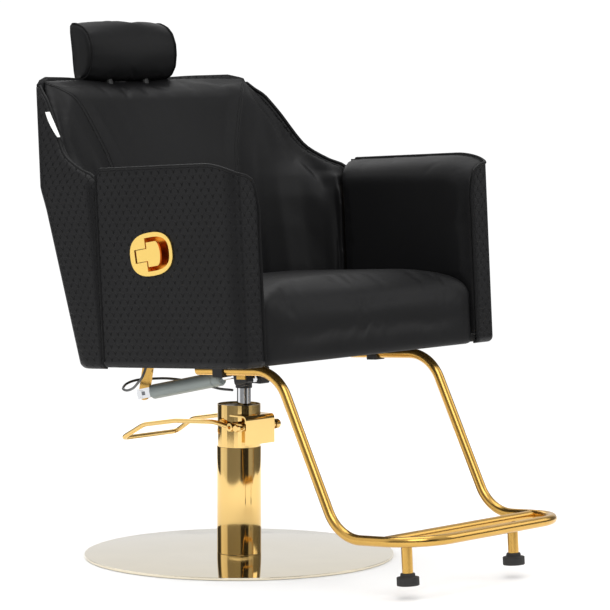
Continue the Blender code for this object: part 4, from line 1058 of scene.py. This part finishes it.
class CHAIR_OT_footrest(bpy.types.Operator):
    """Bend the footrest tube and add its crossbar, legs and rubber feet."""
    bl_idname = "chair.footrest"
    bl_label = "Footrest"

    def execute(self, context):
        far = [(-x, y, z) for x, y, z in reversed(FOOTREST_SIDE)]
        path = filleted(FOOTREST_SIDE + far, FOOTREST_BENDS + FOOTREST_BENDS[::-1], 20)
        strand("footrest_bend", [in_seat(path)], TUBE_RADIUS, "satin_gold", "seat",
               ("footrest_tube",), detail=10)
        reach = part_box("footrest_crossbar")[1][0]
        bar = in_seat([(x, CROSSBAR_Y, -0.3120) for x in (-reach, reach)])
        strand("footrest_bar", [bar], 0.0088, "satin_gold", "seat",
               ("footrest_crossbar",), detail=8)
        for side, label in ((1, "left"), (-1, "right")):
            self.foot(side * LEG_X, label)
        return {"FINISHED"}

    def foot(self, x, label):
        place = SEAT @ Matrix.Translation((x, CROSSBAR_Y, 0.0))
        leg = [(0.0, -0.3884), (0.0100, -0.3884), (0.0100, -0.3211), (0.0, -0.3211)]
        piece(f"footrest_leg_{label}", spun(leg, 48), "satin_gold", "seat",
              (f"foot_leg_{label}",), place)
        bottom, top = -0.3984, -0.3829
        sole = rounded_profile([(0.0015, bottom), (0.0205, bottom), (0.0205, top),
                                (0.0140, top + 0.0008), (0.0130, top + 0.0070),
                                (0.0103, top + 0.0070)], 0.0016)
        profile = sole + [(0.0103, -0.3887), (0.0015, -0.3887)]
        piece(f"rubber_foot_{label}", spun(profile, 64, True), "rubber", "seat",
              (f"foot_bumper_{label}",), place)


class CHAIR_OT_seat_cushion(bpy.types.Operator):
    """Puff the seat cushion."""
    bl_idname = "chair.seat_cushion"
    bl_label = "Seat cushion"

    def execute(self, context):
        upholstered("seat_pad", solid_copy("seat_cushion"), 0.006, settings().seat_swell, "leather",
                    "seat", "seat_cushion",
                    guards=("seat_board", "arm_pad_left", "arm_pad_right", "arm_outer_left",
                            "arm_outer_right", "back_pad"), smoothing=10)
        return {"FINISHED"}


NOSE_START = -0.2650             # where the arm's top begins to fall toward the front
NOSE_CURVE = 2.2


def arm_drop(y):
    """How far the arm's top has fallen at y, on its way to the front."""
    return ARM_NOSE * max(0.0, (NOSE_START - y) / (NOSE_START - ARM_FRONT)) ** NOSE_CURVE


def nosed(point):
    """Let the arm padding's top follow that fall, and leave its foot where it is."""
    share = min(1.0, max(0.0, (point.z - 0.22) / 0.08))
    return point - Vector((0.0, 0.0, arm_drop(point.y) * share))


def arm_profile(x, y):
    """Height of the arm's top at a distance x from the middle."""
    reach = ARM_OUTER - 0.0110
    if x >= reach:
        return ARM_TOP - arm_drop(y)
    along = (reach - x) / (reach - ARM_INNER)
    rise = (ARM_TOP - ARM_INNER_TOP) * math.sqrt(max(0.0, 1.0 - along * along))
    return ARM_INNER_TOP + rise - arm_drop(y)


OPENING = (0.0495, 0.0360)        # half the length and height of the hole behind the handle
OPENING_POWER = 2.6


class CHAIR_OT_arms(bpy.types.Operator):
    """Pad the arms, wrap their outsides in embossed leather and cord the edges."""
    bl_idname = "chair.arms"
    bl_label = "Arms"

    def execute(self, context):
        for side, label in ((1, "left"), (-1, "right")):
            self.pad(label)
            self.skin(side, label)
            self.cording(side, label)
        return {"FINISHED"}

    def pad(self, label):
        bm = sliced(solid_copy(f"arm_pad_{label}"), Vector((0.0, 1.0, 0.0)),
                    [NOSE_START - 0.015 * k for k in range(6)])
        upholstered(f"arm_upholstery_{label}", moulded(bm, nosed), 0.005, 0.006, "leather",
                    "seat", f"arm_pad_{label}",
                    guards=(f"arm_core_{label}", f"arm_outer_{label}", "seat_cushion", "back_pad",
                            "seat_board"), smoothing=5)

    def plan(self, inset=0.0):
        """Outside of an arm from its inner front corner to its rear edge."""
        across, along = ARM_CORNER
        middle = (ARM_OUTER - across, ARM_FRONT + along)
        front = [(ARM_INNER + (middle[0] - ARM_INNER) * k / 4, ARM_FRONT + inset) for k in range(4)]
        bend = arc(middle, (across - inset, along - inset), -90, 0, 16)
        rows = 80
        rear = [(ARM_OUTER - inset, middle[1] + (ARM_REAR - middle[1]) * k / rows)
                for k in range(1, rows + 1)]
        return front + bend + rear

    def skin(self, side, label):
        plan = self.plan()
        tops = [arm_profile(x, y) for x, y in plan]
        rows = []
        edge = rolled_edge(ARM_BOTTOM)
        for z, inset in edge:
            rows.append(in_seat([(side * x, y, z) for x, y in self.plan(inset)]))
        steps = 72
        start = ARM_BOTTOM + ROLL
        for k in range(steps + 1):
            row = [(side * x, y, start + (top - start) * k / steps) for (x, y), top in zip(plan, tops)]
            rows.append(in_seat(row))
        along = [0.0]
        for a, b in zip(plan, plan[1:]):
            along.append(along[-1] + math.dist(a, b))
        marks = [[(s, z - ROLL) for s in along] for z, _ in edge]
        marks += [[(s, (top - start) * k / steps) for s, top in zip(along, tops)]
                  for k in range(steps + 1)]
        bm = drawn_sheet(rows, marks)
        if side < 0:
            self.cut_opening(bm)
        bmesh.ops.recalc_face_normals(bm, faces=bm.faces)
        if sum(f.normal.x * side for f in bm.faces) < 0:
            bmesh.ops.reverse_faces(bm, faces=bm.faces)
        mesh = bpy.data.meshes.new(f"arm_panel_{label}")
        bm.to_mesh(mesh)
        bm.free()
        mesh.shade_smooth()
        mesh.materials.append(material("emboss"))
        panel = place_piece(bpy.data.objects.new(f"arm_panel_{label}", mesh), "seat",
                            (f"arm_outer_{label}",))
        wall = panel.modifiers.new("Thickness", "SOLIDIFY")
        wall.thickness = ARM_SKIN
        wall.offset = -1.0

    def cut_opening(self, bm):
        """Leave out the faces behind the handle's cup."""
        inverse = HANDLE.inverted()
        doomed = []
        for face in bm.faces:
            centre = inverse @ face.calc_center_median()
            reach = (abs(centre.y / OPENING[0]) ** OPENING_POWER
                     + abs(centre.z / OPENING[1]) ** OPENING_POWER)
            if abs(centre.x) < 0.01 and reach < 1.0:
                doomed.append(face)
        bmesh.ops.delete(bm, geom=doomed, context="FACES")

    def cording(self, side, label):
        inset = 0.0012
        plan = self.plan(inset)
        top = [(side * x, y, arm_profile(x, y) + 0.0006) for x, y in plan]
        inner = [(side * (ARM_INNER - 0.0005), ARM_FRONT + inset, z)
                 for z in (0.014, 0.090, 0.170, 0.250, 0.290)]
        rear = [(side * (ARM_OUTER - inset), ARM_REAR - 0.0005, z)
                for z in (0.340, 0.250, 0.170, 0.090, 0.014)]
        turn = [(side * (ARM_OUTER - inset), y, ARM_TOP - drop)
                for y, drop in ((-0.0080, 0.0010), (-0.0010, 0.0060), (0.0022, 0.0140))]
        path = inner + top[1:-3] + turn + rear
        strand(f"arm_cording_{label}", [in_seat(flowing(path, 3))], settings().piping_radius,
               "piping", "seat", detail=4)


class CHAIR_OT_handle(bpy.types.Operator):
    """Finish the recline handle's cup and flap."""
    bl_idname = "chair.handle"
    bl_label = "Recline handle"

    def execute(self, context):
        repaint("handle_gold", "handle_bezel", "handle_flap")
        repaint("steel", "handle_pin")
        return {"FINISHED"}


SEAM = [(0.287, 0.2157, 0.5437), (0.262, 0.1948, 0.5325), (0.231, 0.1755, 0.5013),
        (0.1975, 0.1598, 0.4302), (0.181, 0.1505, 0.3846), (0.166, 0.134, 0.300),
        (0.150, 0.112, 0.200), (0.140, 0.092, 0.110)]


class CHAIR_OT_back(bpy.types.Operator):
    """Pad the tub back, wrap its outside, sew its seams and cord its edge."""
    bl_idname = "chair.back"
    bl_label = "Reclining back"

    def execute(self, context):
        seams = [in_seat(flowing([(side * x, y, z) for x, y, z in SEAM], 8)) for side in (1, -1)]
        edges = [in_seat(self.edge_path())]
        cuts = [side * x for x in (0.05, 0.10, 0.15, 0.20, 0.25, 0.275, 0.285) for side in (1, -1)]
        bm = sliced(solid_copy("back_pad"), Vector((1.0, 0.0, 0.0)), cuts)
        pad = upholstered("back_upholstery", moulded(bm, eased), 0.006, settings().back_swell,
                          "leather", "back", "back_pad",
                          guards=("back_shell", "seat_cushion", "arm_pad_left", "arm_pad_right"),
                          pins=seams + edges, smoothing=5)
        for path, label in zip(seams, ("left", "right")):
            self.seam(pad, path, label)
        self.shell()
        self.cording()
        self.tag()
        repaint("black_plastic", "post_guide_left", "post_guide_right")
        return {"FINISHED"}

    def seam(self, pad, path, label):
        line = settled(evenly(path, 0.004), pad, -0.0002)
        strand(f"back_seam_{label}", [line], 0.0013, "thread", "back", detail=2)
        inward = -0.0085 if label == "left" else 0.0085
        aside = [p + Vector((inward, 0.0, 0.0)) for p in evenly(path, 0.004)]
        beside = settled(aside, pad, 0.0001)
        strand(f"back_stitching_{label}", stitches(beside, settings().stitch, 0.0018), 0.0007,
               "thread", "back", detail=1)

    def shell(self):
        levels = rolled_edge(0.0)
        levels += [(ROLL + (BACK_TOP - ROLL) * k / 60, 0.0) for k in range(61)]
        rows = []
        for z, inset in levels:
            rows.append(in_seat([eased((x, y, z)) for x, y in whole(rear_curve(z, inset))]))
        bm = drawn_sheet(rows, run_marks(rows))
        bmesh.ops.recalc_face_normals(bm, faces=bm.faces)
        if sum(f.normal.y for f in bm.faces) < 0:
            bmesh.ops.reverse_faces(bm, faces=bm.faces)
        mesh = bpy.data.meshes.new("back_wrap")
        bm.to_mesh(mesh)
        bm.free()
        mesh.shade_smooth()
        mesh.materials.append(material("emboss"))
        wrap = place_piece(bpy.data.objects.new("back_wrap", mesh), "back",
                           ("back_shell",))
        wall = wrap.modifiers.new("Thickness", "SOLIDIFY")
        wall.thickness = BACK_SKIN - 0.0005
        wall.offset = -1.0

    def edge_path(self):
        """Where the panel meets the padding: up one edge, along the top and down the other."""
        levels = [ROLL + (BACK_TOP - ROLL) * k / 60 for k in range(60)]
        side = [(half_width(z) - 0.0035, front_edge(z) - 0.0012, z) for z in levels]
        top = [(x, y, BACK_TOP + 0.0008) for x, y in rear_curve(BACK_TOP, 0.0050)]
        half = side + top[4:]
        return [eased(p) for p in half + [(-x, y, z) for x, y, z in reversed(half[:-1])]]

    def cording(self):
        strand("back_cording", [in_seat(self.edge_path())], settings().piping_radius, "piping",
               "back", detail=4)

    def tag(self):
        """A small blank ribbon tag, bowed a little, set behind the edge cord."""
        rows = []
        for k in range(13):
            t = k / 12
            z = 0.4825 - 0.0485 * t
            bow = 0.0035 * math.sin(math.pi * t)
            slant = 0.1630 - 0.0415 * t
            width = 0.0125 * (1.0 - 0.35 * t)
            rows.append([(-(half_width(z) + 0.0015 + bow * u), slant + width * u, z)
                         for u in (0.0, 0.25, 0.5, 0.75, 1.0)])
        bm = drawn_sheet([in_seat(row) for row in rows], run_marks(rows))
        bmesh.ops.solidify(bm, geom=bm.faces[:], thickness=0.0006)
        piece("ribbon_tag", bm, "tag", "back")


HEADREST_SECTION = [(0.2960, 0.5535), (0.2750, 0.5535), (0.2600, 0.5580), (0.2480, 0.5720),
                    (0.2430, 0.5920), (0.2440, 0.6150), (0.2520, 0.6380), (0.2660, 0.6530),
                    (0.2850, 0.6620), (0.3020, 0.6640), (0.3075, 0.6590), (0.3000, 0.5555)]


PILLOW_MIDDLE = (0.272, 0.604)
PILLOW_HALF = 0.1230
PILLOW_FOOT = 0.5535
PILLOW_TAPER = 0.13
PILLOW_SAG = 0.0105


class CHAIR_OT_headrest(bpy.types.Operator):
    """Puff the headrest, cord its ends and turn its posts."""
    bl_idname = "chair.headrest"
    bl_label = "Headrest"

    def execute(self, context):
        slices = [side * x for x in (0.04, 0.07, 0.09, 0.10, 0.11, 0.116) for side in (1, -1)]
        bm = sliced(solid_copy("headrest_pad"), Vector((1.0, 0.0, 0.0)), slices)
        ends = []
        for side in (1, -1):
            outline = [self.tapered(Vector((side * 0.1165, y, z))) for y, z in HEADREST_SECTION]
            ends.append(in_seat(flowing(outline, 6, closed=True)))
        pillow = upholstered("headrest_pillow", moulded(bm, self.tapered), 0.004, 0.009, "leather",
                             "headrest", "headrest_pad",
                             guards=("headrest_post_left", "headrest_post_right"), pins=ends,
                             reach=0.030, smoothing=4)
        corded = [settled(end, pillow, 0.0008) for end in ends]
        strand("headrest_cording", corded, 0.0021, "piping", "headrest", closed=True,
               detail=4)
        for side, label in ((1, "left"), (-1, "right")):
            profile = rounded_profile([(0.0, -0.1200), (0.0050, -0.1200), (0.0050, 0.0300),
                                       (0.0, 0.0300)], 0.0008)
            piece(f"headrest_stem_{label}", spun(profile, 40, centre=(side * 0.0500, 0.0, 0.0)),
                  "chrome", "headrest", (f"headrest_post_{label}",), SLIDER)
        return {"FINISHED"}

    def tapered(self, point):
        """Draw the pillow in toward its ends and let its underside settle on the back."""
        x, y, z = point
        mid_y, mid_z = PILLOW_MIDDLE
        scale = 1.0 - PILLOW_TAPER * min(1.0, abs(x) / PILLOW_HALF) ** 4
        low = max(0.0, 1.0 - (z - PILLOW_FOOT) / 0.040)
        return Vector((x, mid_y + (y - mid_y) * scale,
                       mid_z + (z - mid_z) * scale - PILLOW_SAG * low))


class CHAIR_PT_builder(bpy.types.Panel):
    """Sizes, colours and the steps that build the chair."""
    bl_idname = "CHAIR_PT_builder"
    bl_label = "Barber Chair"
    bl_space_type = "VIEW_3D"
    bl_region_type = "UI"
    bl_category = "Barber Chair"

    def draw(self, context):
        column = self.layout.column()
        for name in ChairFinish.__annotations__:
            column.prop(context.scene.chair_finish, name)
        for step in STEPS:
            column.operator(step.bl_idname)


STEPS = (CHAIR_OT_stage, CHAIR_OT_cable, CHAIR_OT_base, CHAIR_OT_pedal, CHAIR_OT_under_seat,
         CHAIR_OT_footrest, CHAIR_OT_seat_cushion, CHAIR_OT_arms, CHAIR_OT_handle, CHAIR_OT_back,
         CHAIR_OT_headrest)
CLASSES = (ChairFinish, *STEPS, CHAIR_PT_builder)


def register():
    for cls in CLASSES:
        bpy.utils.register_class(cls)
    bpy.types.Scene.chair_finish = bpy.props.PointerProperty(type=ChairFinish)


def unregister():
    del bpy.types.Scene.chair_finish
    for cls in reversed(CLASSES):
        bpy.utils.unregister_class(cls)


def main():
    register()
    for step in STEPS:
        group, name = step.bl_idname.split(".")
        getattr(getattr(bpy.ops, group), name)()


if __name__ == "__main__":
    main()
